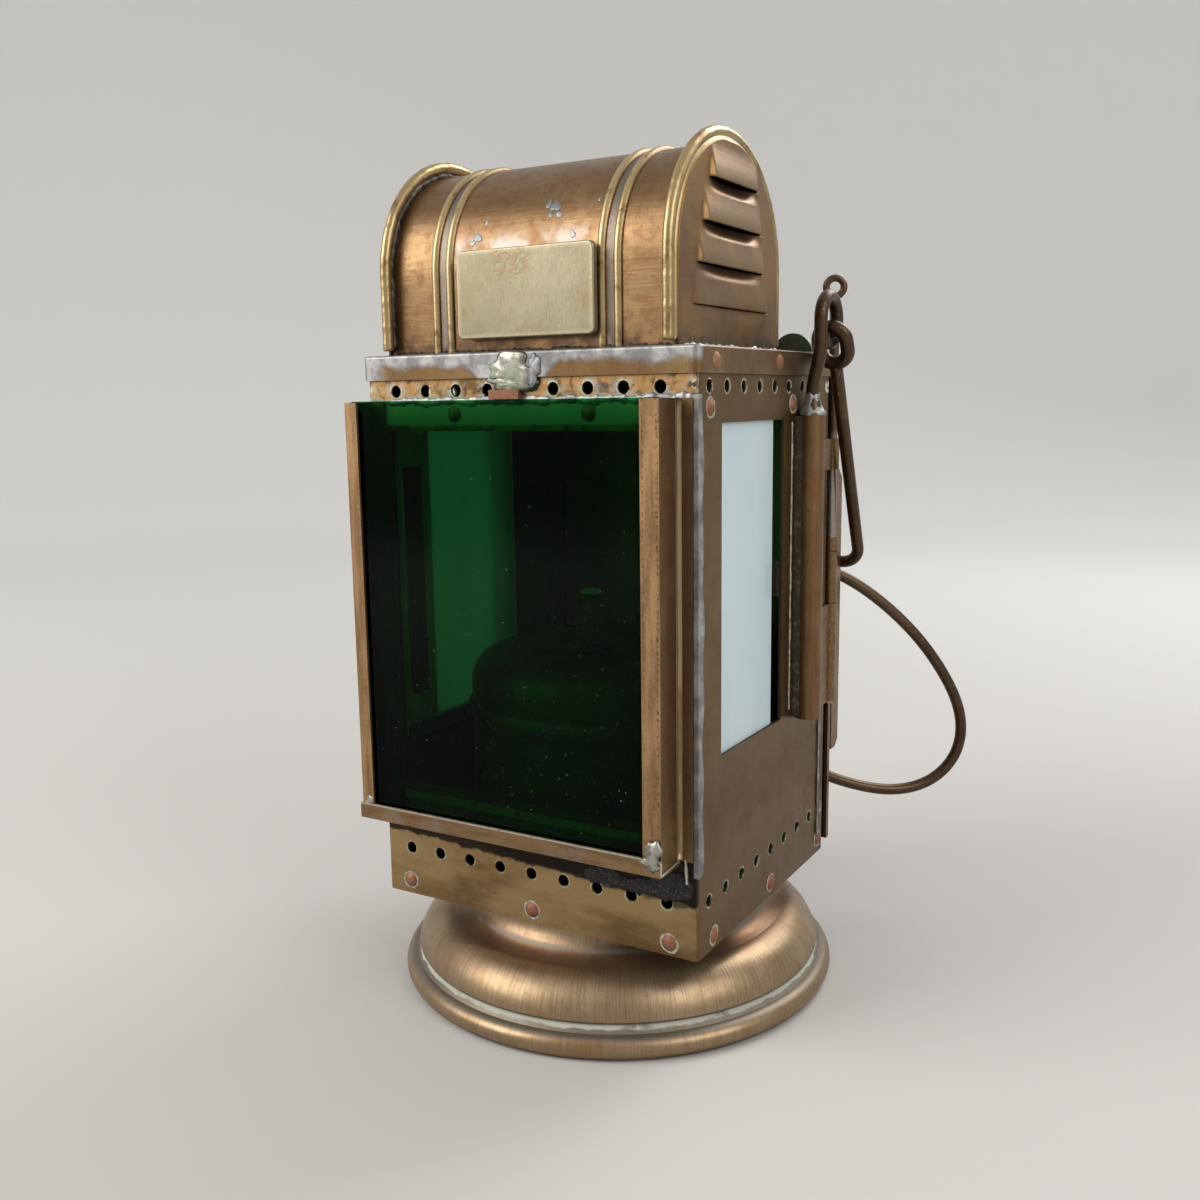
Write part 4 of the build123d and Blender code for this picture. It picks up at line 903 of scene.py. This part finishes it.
splashes = [(9.3, 260.1, 1.7), (6.6, 261.0, 1.2), (11.3, 257.4, 1.1), (8.2, 257.6, 0.8), (-17.4, 252.6, 1.3),
            (-19.0, 251.0, 0.9), (17.3, 251.0, 0.9), (-15.0, 257.1, 0.7), (24.3, 260.8, 0.5)]
for number, (x, z, size) in enumerate(splashes):
    tilt = math.asin(min(0.999, (z * mm - hood_centre) / hood_radius))
    out = (0.0, -math.cos(tilt), math.sin(tilt))
    spot = (x * mm, hood_middle + hood_radius * out[1], hood_centre + hood_radius * out[2])
    sizes = (size * mm, 1.2 * size * mm, 0.14 * mm)
    solder_drop("hood_splash_%d" % (number + 1), spot, out, (1, 0, 0), sizes, 20 + number, solder_material)

gap_finish = Finish("filled_gap", (0.070, 0.058, 0.046), 0.55, 0.6)
gap_light = rise(gap_finish.clouds(0.0022, 5.0), 0.52, 0.66)
gap_finish.lay(gap_light, (0.17, 0.14, 0.10), rough=0.5, metal=0.6)
gap_material = gap_finish.seal(0.6)
turns = np.linspace(np.pi, 0.0, 60)
gap_radius = hood_radius + 0.0006
gap_x = 0.0504
gap_foot = hood_low.z + 0.002
for side, word in ((-1, "left"), (1, "right")):
    arch = [(side * gap_x, hood_middle - gap_radius, gap_foot)]
    for t in turns:
        y, z = hood_middle + gap_radius * math.cos(t), hood_centre + gap_radius * math.sin(t)
        arch.append((side * gap_x, y, z))
    arch.append((side * gap_x, hood_middle + gap_radius, gap_foot))
    solder_run("gap_fill_" + word, arch, (-side, 0, 0), 0.9 * mm, 0.7 * mm, 0.5, 40 + side, gap_material)

seam_end = 0.0505
seam_front = hood_low.y + 0.0008
seam_rear = hood_high.y - 0.0008
seam_right = hood_high.x + 0.0012
seam_left = hood_low.x - 0.0012
seam_start = hood_low.y + 0.002
seam_z = hood_low.z
solder_run("hood_seam_front", [(-seam_end, seam_front, seam_z), (seam_end, seam_front, seam_z)],
           (0, -0.6, 0.8), 1.1 * mm, 0.6 * mm, 0.7, 51, gap_material)
solder_run("hood_seam_right", [(seam_right, seam_start, seam_z), (seam_right, hood_high.y, seam_z)],
           (0.8, 0, 0.6), 1.0 * mm, 0.6 * mm, 0.6, 52, solder_material)
solder_run("hood_seam_left", [(seam_left, seam_start, seam_z), (seam_left, hood_high.y, seam_z)],
           (-0.8, 0, 0.6), 1.0 * mm, 0.6 * mm, 0.6, 53, solder_material)
solder_run("hood_seam_rear", [(-seam_end, seam_rear, seam_z), (seam_end, seam_rear, seam_z)], (0, 0.6, 0.8),
           1.0 * mm, 0.6 * mm, 0.6, 54, solder_material)


# Plate. A small brass plate with rounded corners on the front of the hood, on a folded
# strip. It is left bare; it is rubbed paler than the hood, with fine upright scratches,
# edges painted bright as highlights and one worn reddish patch near its upper edge.
plate_finish = Finish("brushed_plate", None, None)
plate_finish.age((0.225, 0.198, 0.128), (0.175, 0.150, 0.090), (0.28, 0.25, 0.17), 0.6, 0.10, 0.37)
plate_finish.drawn((1.0, 1.0, 0.14), 0.0005, 0.28)
x_way, y_way, z_way = plate_finish.ways()
plate_centre_x = 0.00245
plate_centre_z = 0.23505
# the worn reddish patch, and a painted highlight along the edge
worn_x = size_of(plus(x_way, 0.0020))
worn_z = less(z_way, plate_high.z - 0.014)
worn = times(rise(worn_x, 0.0085, 0.0050), rise(worn_z, 0.0035, 0.0085))
worn = times(worn, rise(plate_finish.clouds(0.0022, 5.0), 0.42, 0.52))
plate_finish.lay(times(worn, 0.8), (0.30, 0.225, 0.125), rough=0.55, height=0.4)
off_x = size_of(less(x_way, plate_centre_x))
off_z = size_of(less(z_way, plate_centre_z))
plate_edge_highlight = larger(rise(off_x, 0.0225, 0.0242), rise(off_z, 0.0114, 0.0129))
plate_finish.lay(times(plate_edge_highlight, 0.4), (0.42, 0.37, 0.24), rough=0.32)
plate_finish.shade_and_grime(0.002, shade_and_soot, 0.6)
dress(plate_finish.seal(0.2), "bare_plate", "plate_strip")


# Lug. A half-round of sheet brass that stands on the lid behind the hood, soldered at its
# foot and green with old salts.
lug_finish = Finish("green_lug", None, None)
lug_finish.age((0.085, 0.115, 0.085), (0.035, 0.045, 0.038), (0.20, 0.24, 0.17), 0.6, 0.5, 0.42)
lug_finish.shade_and_grime(0.003, shade_and_soot, 0.7)
dress(lug_finish.seal(0.3), "rear_lug")


# Glass frame. Two upright channels and a trough of folded brass strip, soldered to the
# front. Fingers have rubbed their lips pale and flat, with rows of dark pits, and the
# inner faces are dark.
frame_finish = Finish("frame_brass", None, None)
frame_finish.age((0.158, 0.091, 0.039), (0.075, 0.038, 0.019), (0.36, 0.245, 0.118), 0.4, 0.5, 0.40)
frame_finish.drawn((1.0, 1.0, 0.04), 0.0009, 0.3)
x_way, y_way, z_way = frame_finish.ways()
guide_low, guide_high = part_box("glass_guide_right")
# the lips of the channels, with their streaks and their two rows of pits
lip = rise(y_way, guide_low.y + 0.0005, guide_low.y + 0.0001)
upright = rise(z_way, guide_low.z + 0.003, guide_low.z + 0.005)
lip = times(lip, upright)
lip_streaks = rise(frame_finish.clouds(0.0030, 4.0, (1.0, 1.0, 0.12)), 0.36, 0.66)
lip_colour = tint(lip_streaks, (0.20, 0.115, 0.050, 1.0), (0.37, 0.225, 0.110, 1.0))
frame_finish.lay(times(lip, 0.85), lip_colour, rough=0.50)
rough_skin = rise(frame_finish.clouds(0.0010, 4.0), 0.50, 0.62)
rough_skin = times(lip, rough_skin, 0.22)
frame_finish.lay(rough_skin, (0.42, 0.28, 0.17), rough=0.5)
inner_pits = size_of(less(x_way, guide_low.x + 0.00085))
outer_pits = size_of(less(x_way, guide_high.x - 0.0053))
inner_line = rise(inner_pits, 0.0004, 0.00012)
outer_line = rise(outer_pits, 0.0007, 0.0002)
pits = times(larger(inner_line, outer_line), rise(frame_finish.clouds(0.0009, 6.0), 0.47, 0.66), lip, 0.75)
frame_finish.lay(pits, (0.050, 0.027, 0.016), rough=0.7, height=-1.0)
frame_finish.shade_and_grime(0.003, shade_and_soot, 0.6)
dress(frame_finish.seal(0.3), "glass_guide_right", "glass_guide_left", "slot_strip_left", "slot_strip_right")

# the fold between the right channel's wall and flange, painted paler as a highlight line
fold_finish = Finish("fold_highlight_brass", (0.30, 0.21, 0.13), 0.34, 0.9)
fold_worn = rise(fold_finish.clouds(0.004, 4.0, (1.0, 1.0, 0.15)), 0.40, 0.62)
fold_finish.lay(fold_worn, (0.20, 0.125, 0.065), rough=0.42)
fold_material = fold_finish.seal()
fold_radius = 0.0017
fold_wall = 0.0543
fold_flange = -0.0573
turn = np.linspace(np.pi, 0.5 * np.pi, 9)
fold_x = np.append(fold_wall + fold_radius + fold_radius * np.cos(turn), fold_wall - 0.0001)
fold_y = np.append(fold_flange - fold_radius + fold_radius * np.sin(turn), fold_flange + 0.0001)
fold_z = np.linspace(guide_low.z + 0.0004, guide_high.z - 0.0003, 40)[:, None]
fold_rings = np.stack(np.broadcast_arrays(fold_x[None, :], fold_y[None, :], fold_z), -1)
fold_piece = closed_run("guide_fold_right", fold_rings)
fold_piece.data.materials.append(fold_material)
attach(fold_piece, "lamp")

# cut edges of the sheet at the right foot of the frame, painted pale as highlights
edge_highlight = Finish("edge_highlight", (0.46, 0.42, 0.36), 0.45, 0.8).seal()
solder_run("wall_foot_edge", [(0.0545, -0.0699, 0.0652), (0.0545, -0.0576, 0.0660)],
           (1, 0, 0), 0.35 * mm, 0.25 * mm, 0.3, 81, edge_highlight)
solder_run("trough_end_edge", [(0.0547, -0.0700, 0.0654), (0.0547, -0.0700, 0.0696)],
           (0, -1, 0), 0.30 * mm, 0.25 * mm, 0.3, 82, edge_highlight)
solder_run("flange_end_edge", [(0.0562, -0.0567, 0.0668), (0.0566, -0.0567, 0.0584)],
           (0, -1, 0), 0.45 * mm, 0.9 * mm, 0.3, 83, edge_highlight)

trough_finish = Finish("trough_brass", None, None)
trough_finish.age((0.22, 0.135, 0.066), (0.10, 0.055, 0.028), (0.38, 0.27, 0.15), 0.4, 0.5, 0.42)
trough_finish.drawn((0.05, 1.0, 1.0), 0.0012, 0.5)
x_way, y_way, z_way = trough_finish.ways()
trough_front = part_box("glass_trough")[0].y
# a painted highlight along the trough's upper edge
upper_edge_highlight = times(rise(z_way, 0.0692, 0.0697), rise(trough_finish.clouds(0.002), 0.3, 0.45))
trough_finish.lay(times(upper_edge_highlight, 0.7), (0.62, 0.56, 0.46), rough=0.5)
tinned = rise(trough_finish.clouds(0.010, 5.0), 0.52, 0.64)
trough_finish.lay(times(tinned, 0.4), (0.22, 0.20, 0.175), rough=0.42)
trough_finish.shade_and_grime(0.003, shade_and_soot, 0.6)
dress(trough_finish.seal(0.3), "glass_trough")

# solder at the feet of the frame, and the burnt crust where the torch was held under it, dark also as painted
# shadow of the trough
solder_drop("frame_foot_right", (0.0520, trough_front - 0.0001, 0.0716), (0, -1, 0), (0, 0, 1),
            (4.2 * mm, 3.0 * mm, 1.0 * mm), 61, patch_material)
solder_drop("frame_foot_right_low", (0.0512, trough_front - 0.0001, 0.0688), (0, -1, 0), (1, 0, 0),
            (3.4 * mm, 1.6 * mm, 0.6 * mm), 62, patch_material)
solder_drop("frame_foot_left", (-0.0562, trough_front + 0.0008, 0.0705), (0, -1, 0), (0, 0, 1),
            (2.2 * mm, 1.6 * mm, 0.5 * mm), 63, patch_material)
scorch_shadow_finish = Finish("burnt_solder_and_shadow", (0.026, 0.025, 0.026), 0.45, 0.7)
scorch_light = rise(scorch_shadow_finish.clouds(0.0007, 6.0), 0.56, 0.74)
scorch_shadow_finish.lay(scorch_light, (0.17, 0.17, 0.175), rough=0.34)
scorch_shadow_finish.relief = scorch_shadow_finish.clouds(0.0007, 6.0)
scorch_shadow_material = scorch_shadow_finish.seal(0.9, 0.0008)
crust_path = [(0.020, front_face, 0.0560), (0.038, front_face, 0.0548), (0.0585, front_face, 0.0552)]
guide_top = front_face - 0.0004
solder_run("solder_under_trough", crust_path, (0, -1, 0), 2.7 * mm, 0.7 * mm, 0.42, 64, scorch_shadow_material)
solder_run("solder_trough_corner", [(0.0440, front_face, 0.0585), (0.0588, front_face, 0.0580)],
           (0, -1, 0), 3.2 * mm, 0.9 * mm, 0.35, 65, scorch_shadow_material)
solder_run("solder_strip_left", [(-0.0585, front_face, 0.0632), (-0.0400, front_face, 0.0625)],
           (0, -1, 0), 1.6 * mm, 0.4 * mm, 0.5, 66, solder_material)
solder_run("solder_over_glass", [(-0.0520, front_face, 0.2029), (0.0560, front_face, 0.2029)],
           (0, -1, 0), 1.2 * mm, 0.4 * mm, 0.6, 67, solder_material)
solder_run("solder_guide_top", [(0.0530, guide_top, 0.2030), (0.0592, guide_top, 0.2026)],
           (0, -1, 0), 2.0 * mm, 0.6 * mm, 0.4, 68, solder_material)


# Front glass. One pane of deep green glass that slides up out of its channels. It is so
# deep in colour that only the opal windows show through it, and dust lies on it.
glass_finish = bpy.data.materials.new("deep_green_glass")
glass_finish.use_nodes = True
glass_tree = glass_finish.node_tree
glass_shader = glass_tree.nodes["Principled BSDF"]
glass_shader.inputs["Transmission Weight"].default_value = 1.0
glass_shader.inputs["IOR"].default_value = 1.13
glass_shader.inputs["Roughness"].default_value = 0.0
glass_place = put(glass_tree, "TexCoord").outputs["Object"]
deep_green = (0.020, 0.26, 0.060, 1.0)
paler_green = (0.026, 0.30, 0.072, 1.0)
streaky = clouds(glass_place, 0.02, 3.0, (1.0, 1.0, 0.2))
glass_colour = tint(rise(streaky, 0.35, 0.7), deep_green, paler_green)
glass_tree.links.new(glass_colour, glass_shader.inputs["Base Color"])
dress(glass_finish, "green_glass")

dust_finish = Finish("dust", (0.26, 0.27, 0.25), 0.9, 0.0)
dust_tone = rise(dust_finish.clouds(0.006), 0.4, 0.65)
dust_finish.lay(dust_tone, (0.10, 0.12, 0.10))
glass_low, glass_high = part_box("green_glass")
speck_count = 420
chance = np.random.default_rng(8)
speck_x = glass_low.x + 0.004 + (glass_high.x - glass_low.x - 0.012) * chance.beta(1.6, 1.0, speck_count)
speck_z = glass_low.z + 0.006 + (glass_high.z - glass_low.z - 0.012) * chance.beta(1.0, 1.5, speck_count)
speck_size = 0.00007 + 0.00015 * chance.random(speck_count) ** 6
speck_corners = 6
speck_turn = np.linspace(0, 2 * np.pi, speck_corners, endpoint=False)[None, :]
speck_turn = speck_turn + chance.uniform(0, 6, speck_count)[:, None]
speck_reach = speck_size[:, None] * chance.uniform(0.6, 1.2, (speck_count, speck_corners))
rims_of_specks = np.stack([
    speck_x[:, None] + speck_reach * np.cos(speck_turn),
    np.full((speck_count, speck_corners), glass_low.y - 0.00001),
    speck_z[:, None] + speck_reach * np.sin(speck_turn),
], -1)
tops = np.stack([speck_x, np.full(speck_count, glass_low.y - 0.00006), speck_z], -1)[:, None, :]
backs = np.stack([speck_x, np.full(speck_count, glass_low.y + 0.00002), speck_z], -1)[:, None, :]
speck_points = np.concatenate([tops, rims_of_specks, backs], 1).reshape(-1, 3)
speck_top = (speck_corners + 2) * np.arange(speck_count)[:, None]
speck_back = speck_top + speck_corners + 1
corner = np.arange(speck_corners)[None, :]
this_corner = speck_top + 1 + corner
next_corner = speck_top + 1 + (corner + 1) % speck_corners
speck_faces = np.concatenate([
    np.stack(np.broadcast_arrays(speck_top, this_corner, next_corner), -1).reshape(-1, 3),
    np.stack(np.broadcast_arrays(speck_back, next_corner, this_corner), -1).reshape(-1, 3),
])
dust_mesh = bpy.data.meshes.new("glass_dust")
dust_mesh.from_pydata(speck_points.tolist(), [], speck_faces.tolist())
dust = bpy.data.objects.new("glass_dust", dust_mesh)
bpy.context.scene.collection.objects.link(dust)
dust.data.materials.append(dust_finish.seal())
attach(dust, "glass")


# Side panes. Opal glass that stands in a channel behind each window, held by a clip on
# the right and a strip of brass on the left.
opal = bpy.data.materials.new("opal_glass")
opal.use_nodes = True
opal_tree = opal.node_tree
opal_shader = opal_tree.nodes["Principled BSDF"]
opal_shader.inputs["Transmission Weight"].default_value = 0.45
opal_shader.inputs["Roughness"].default_value = 0.28
opal_shader.inputs["IOR"].default_value = 1.35
opal_place = put(opal_tree, "TexCoord").outputs["Object"]
milk = clouds(opal_place, 0.03, 3.0, (1.0, 1.0, 0.3))
opal_blue = (0.69, 0.83, 0.89, 1.0)
opal_white = (0.76, 0.88, 0.93, 1.0)
opal_colour = tint(rise(milk, 0.35, 0.7), opal_blue, opal_white)
opal_tree.links.new(opal_colour, opal_shader.inputs["Base Color"])
dress(opal, "opal_pane_right", "opal_pane_left")
dress(tank_finish.material, "pane_trough_right", "pane_trough_left", "pane_clip_right", "pane_strip_left")


# Side sockets and eyes. A brass tube is soldered to each side, and a thick wire stands in
# it, bent into an eye for the bail. A cone of solder closes the tube's top.
tube_finish = Finish("tube_brass", None, None)
tube_finish.age((0.175, 0.098, 0.045), (0.075, 0.038, 0.018), (0.34, 0.22, 0.10), 0.35, 0.55, 0.42)
tube_finish.drawn((1.0, 1.0, 0.05), 0.0013, 0.5)
tube_finish.shade_and_grime(0.004, shade_and_soot, 0.8)
dress(tube_finish.seal(0.25), "side_tube_right", "side_tube_left")
dress(gap_material, "tube_solder_right", "tube_solder_left")

wire_finish = Finish("handled_wire", None, None)
wire_finish.age((0.070, 0.043, 0.024), (0.028, 0.017, 0.011), (0.17, 0.115, 0.062), 0.30, 0.5, 0.34)
shine_spots = rise(wire_finish.clouds(0.0016, 4.0), 0.60, 0.72)
wire_finish.lay(times(shine_spots, 0.5), (0.30, 0.22, 0.12), rough=0.34)
wire_finish.shade_and_grime(0.003, shade_and_soot, 0.7)
wire_material = wire_finish.seal(0.25)
dress(wire_material, "eye_rod_right", "eye_rod_left", "bail")

tube_low, tube_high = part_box("side_tube_right")
tube_x = 0.5 * (tube_low.x + tube_high.x)
tube_y = 0.5 * (tube_low.y + tube_high.y)
cone_bore = 2.12 * mm
cone_profile = np.array([
    [2.15, 6.6], [2.32, 6.3], [2.5, 4.6], [3.0, 2.6], [3.75, 1.0], [4.35, 0.35], [4.42, -0.2], [4.34, -0.7],
    [4.0, -0.9], [2.15, -0.9],
]) * mm
for side, word in ((1, "right"), (-1, "left")):
    t = np.linspace(0, 2 * np.pi, 48, endpoint=False)[:, None]
    wave = 1 + 0.035 * np.sin(3 * t + side) + 0.02 * np.sin(7 * t)
    reach = np.maximum(cone_profile[:, 0][None, :] * wave, cone_bore)
    cone_points = np.stack([
        side * tube_x + reach * np.cos(t),
        tube_y + reach * np.sin(t),
        tube_high.z + cone_profile[:, 1][None, :] * wave,
    ], -1)
    cone = grid_mesh("solder_cone_" + word, cone_points, True, True)
    set_outward(cone)
    cone.data.materials.append(solder_material)
    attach(cone, "lamp")


# Rear door. A pan with a raised channel across its back, closed over the open rear and
# caught by a turning button on the left; a stud stands near its top right corner.
door_finish = Finish("aged_door_brass", None, None)
door_finish.age((0.165, 0.092, 0.038), (0.070, 0.037, 0.018), (0.30, 0.20, 0.09), 0.45, 0.3, 0.35)
door_finish.drawn((1.0, 1.0, 0.03), 0.0008, 0.14)
door_finish.shade_and_grime(0.004, shade_and_soot, 0.8)
dress(door_finish.seal(0.25), "door_pan", "door_channel", "door_catch", "catch_keeper", "grip_ear_high",
      "grip_ear_low", "door_stud")


# Grip. A thick iron wire bent by hand into an open loop, whose two ends stand in the ears
# on the door, so that it swivels out of the way.
def sprung_line(corners, count):
    """A smooth line drawn by its corners: a uniform cubic B-spline with its ends held."""
    held = np.concatenate([[corners[0]] * 2, corners, [corners[-1]] * 2])
    at = np.linspace(0.0, len(held) - 3.0 - 1e-9, count)
    k = at.astype(int)
    t = (at - k)[:, None]
    weights = ((1 - t) ** 3, 3 * t ** 3 - 6 * t ** 2 + 4, -3 * t ** 3 + 3 * t ** 2 + 3 * t + 1, t ** 3)
    return sum(weight * held[k + step] for step, weight in enumerate(weights)) / 6.0


grip_corners = np.array([
    (0.0, 114.0), (0.0, 122.0), (0.0, 130.0), (1.5, 136.4), (9.0, 137.0), (25.0, 127.5),
    (43.5, 111.0), (57.0, 92.5), (64.8, 75.5), (63.2, 59.0), (51.0, 47.8), (34.0, 45.8),
    (17.0, 50.5), (3.0, 56.0), (0.0, 64.0), (0.0, 72.0), (0.0, 79.0),
]) * mm
grip_radius = 2.15 * mm
grip_axis = (0.046, 0.072)
grip_turn = math.radians(38.0)
grip_line = sprung_line(grip_corners, 260)
grip_heading = np.gradient(grip_line, axis=0)
grip_heading /= np.linalg.norm(grip_heading, axis=1)[:, None]
grip_out = np.array([math.cos(grip_turn), math.sin(grip_turn), 0.0])
grip_side = np.array([-math.sin(grip_turn), math.cos(grip_turn), 0.0])
grip_up = np.array([0.0, 0.0, 1.0])
grip_middle = grip_line[:, :1] * grip_out + grip_line[:, 1:] * grip_up + np.array([*grip_axis, 0.0])
grip_across = -grip_heading[:, 1:] * grip_out + grip_heading[:, :1] * grip_up
turn = np.linspace(0.0, 2.0 * np.pi, 16, endpoint=False)[None, :, None]
grip_section = np.cos(turn) * grip_side + np.sin(turn) * grip_across[:, None, :]
grip_rings = grip_middle[:, None, :] + grip_radius * grip_section
grip_piece = closed_run("grip_wire", grip_rings)
grip_piece.data.materials.append(wire_material)
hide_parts("rear_grip")
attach(grip_piece, "grip")


# Hinge. Rolled brass knuckles on the case and the door, and a long bare pin with a pull
# ring that is drawn to free the door. The door's knuckle is speckled with bright brass.
knuckle_finish = Finish("speckled_knuckle", None, None)
knuckle_finish.age((0.170, 0.098, 0.042), (0.075, 0.045, 0.022), (0.30, 0.205, 0.095), 0.5, 0.4, 0.34)
speckles = rise(knuckle_finish.clouds(0.0009, 4.0), 0.52, 0.70)
speckles = times(speckles, rise(knuckle_finish.ways()[0], 0.0580, 0.0592))
knuckle_finish.lay(times(speckles, 0.45), (0.46, 0.37, 0.18), rough=0.34)
greens = rise(knuckle_finish.clouds(0.0022, 4.0), 0.58, 0.68)
knuckle_finish.lay(times(greens, 0.3), (0.24, 0.27, 0.20), rough=0.6, metal=0.4)
knuckle_finish.shade_and_grime(0.002, shade_and_soot, 0.8)
dress(knuckle_finish.seal(0.3), "hinge_case_low", "hinge_case_high", "hinge_door", "hinge_collar")

pin_finish = Finish("bare_pin", None, None)
pin_finish.age((0.30, 0.26, 0.22), (0.10, 0.07, 0.055), (0.50, 0.47, 0.43), 0.6, 0.4, 0.26)
above_hinge = rise(pin_finish.ways()[2], 0.186, 0.192)
pin_finish.lay(above_hinge, (0.095, 0.055, 0.032), rough=0.38)
pin_finish.shade_and_grime(0.002, shade_and_soot, 0.7)
dress(pin_finish.seal(0.2), "hinge_pin")

seam_x = side_face + 0.0004
solder_run("solder_hinge_seam", [(seam_x, 0.0448, 0.0410), (seam_x, 0.0452, 0.0905)],
           (1, 0, 0), 0.7 * mm, 0.35 * mm, 0.5, 71, solder_material)
solder_run("salts_tube_seam", [(side_face, 0.0158, 0.0960), (side_face, 0.0160, 0.1950)],
           (1, 0, 0), 0.55 * mm, 0.25 * mm, 0.5, 72, salt_material)
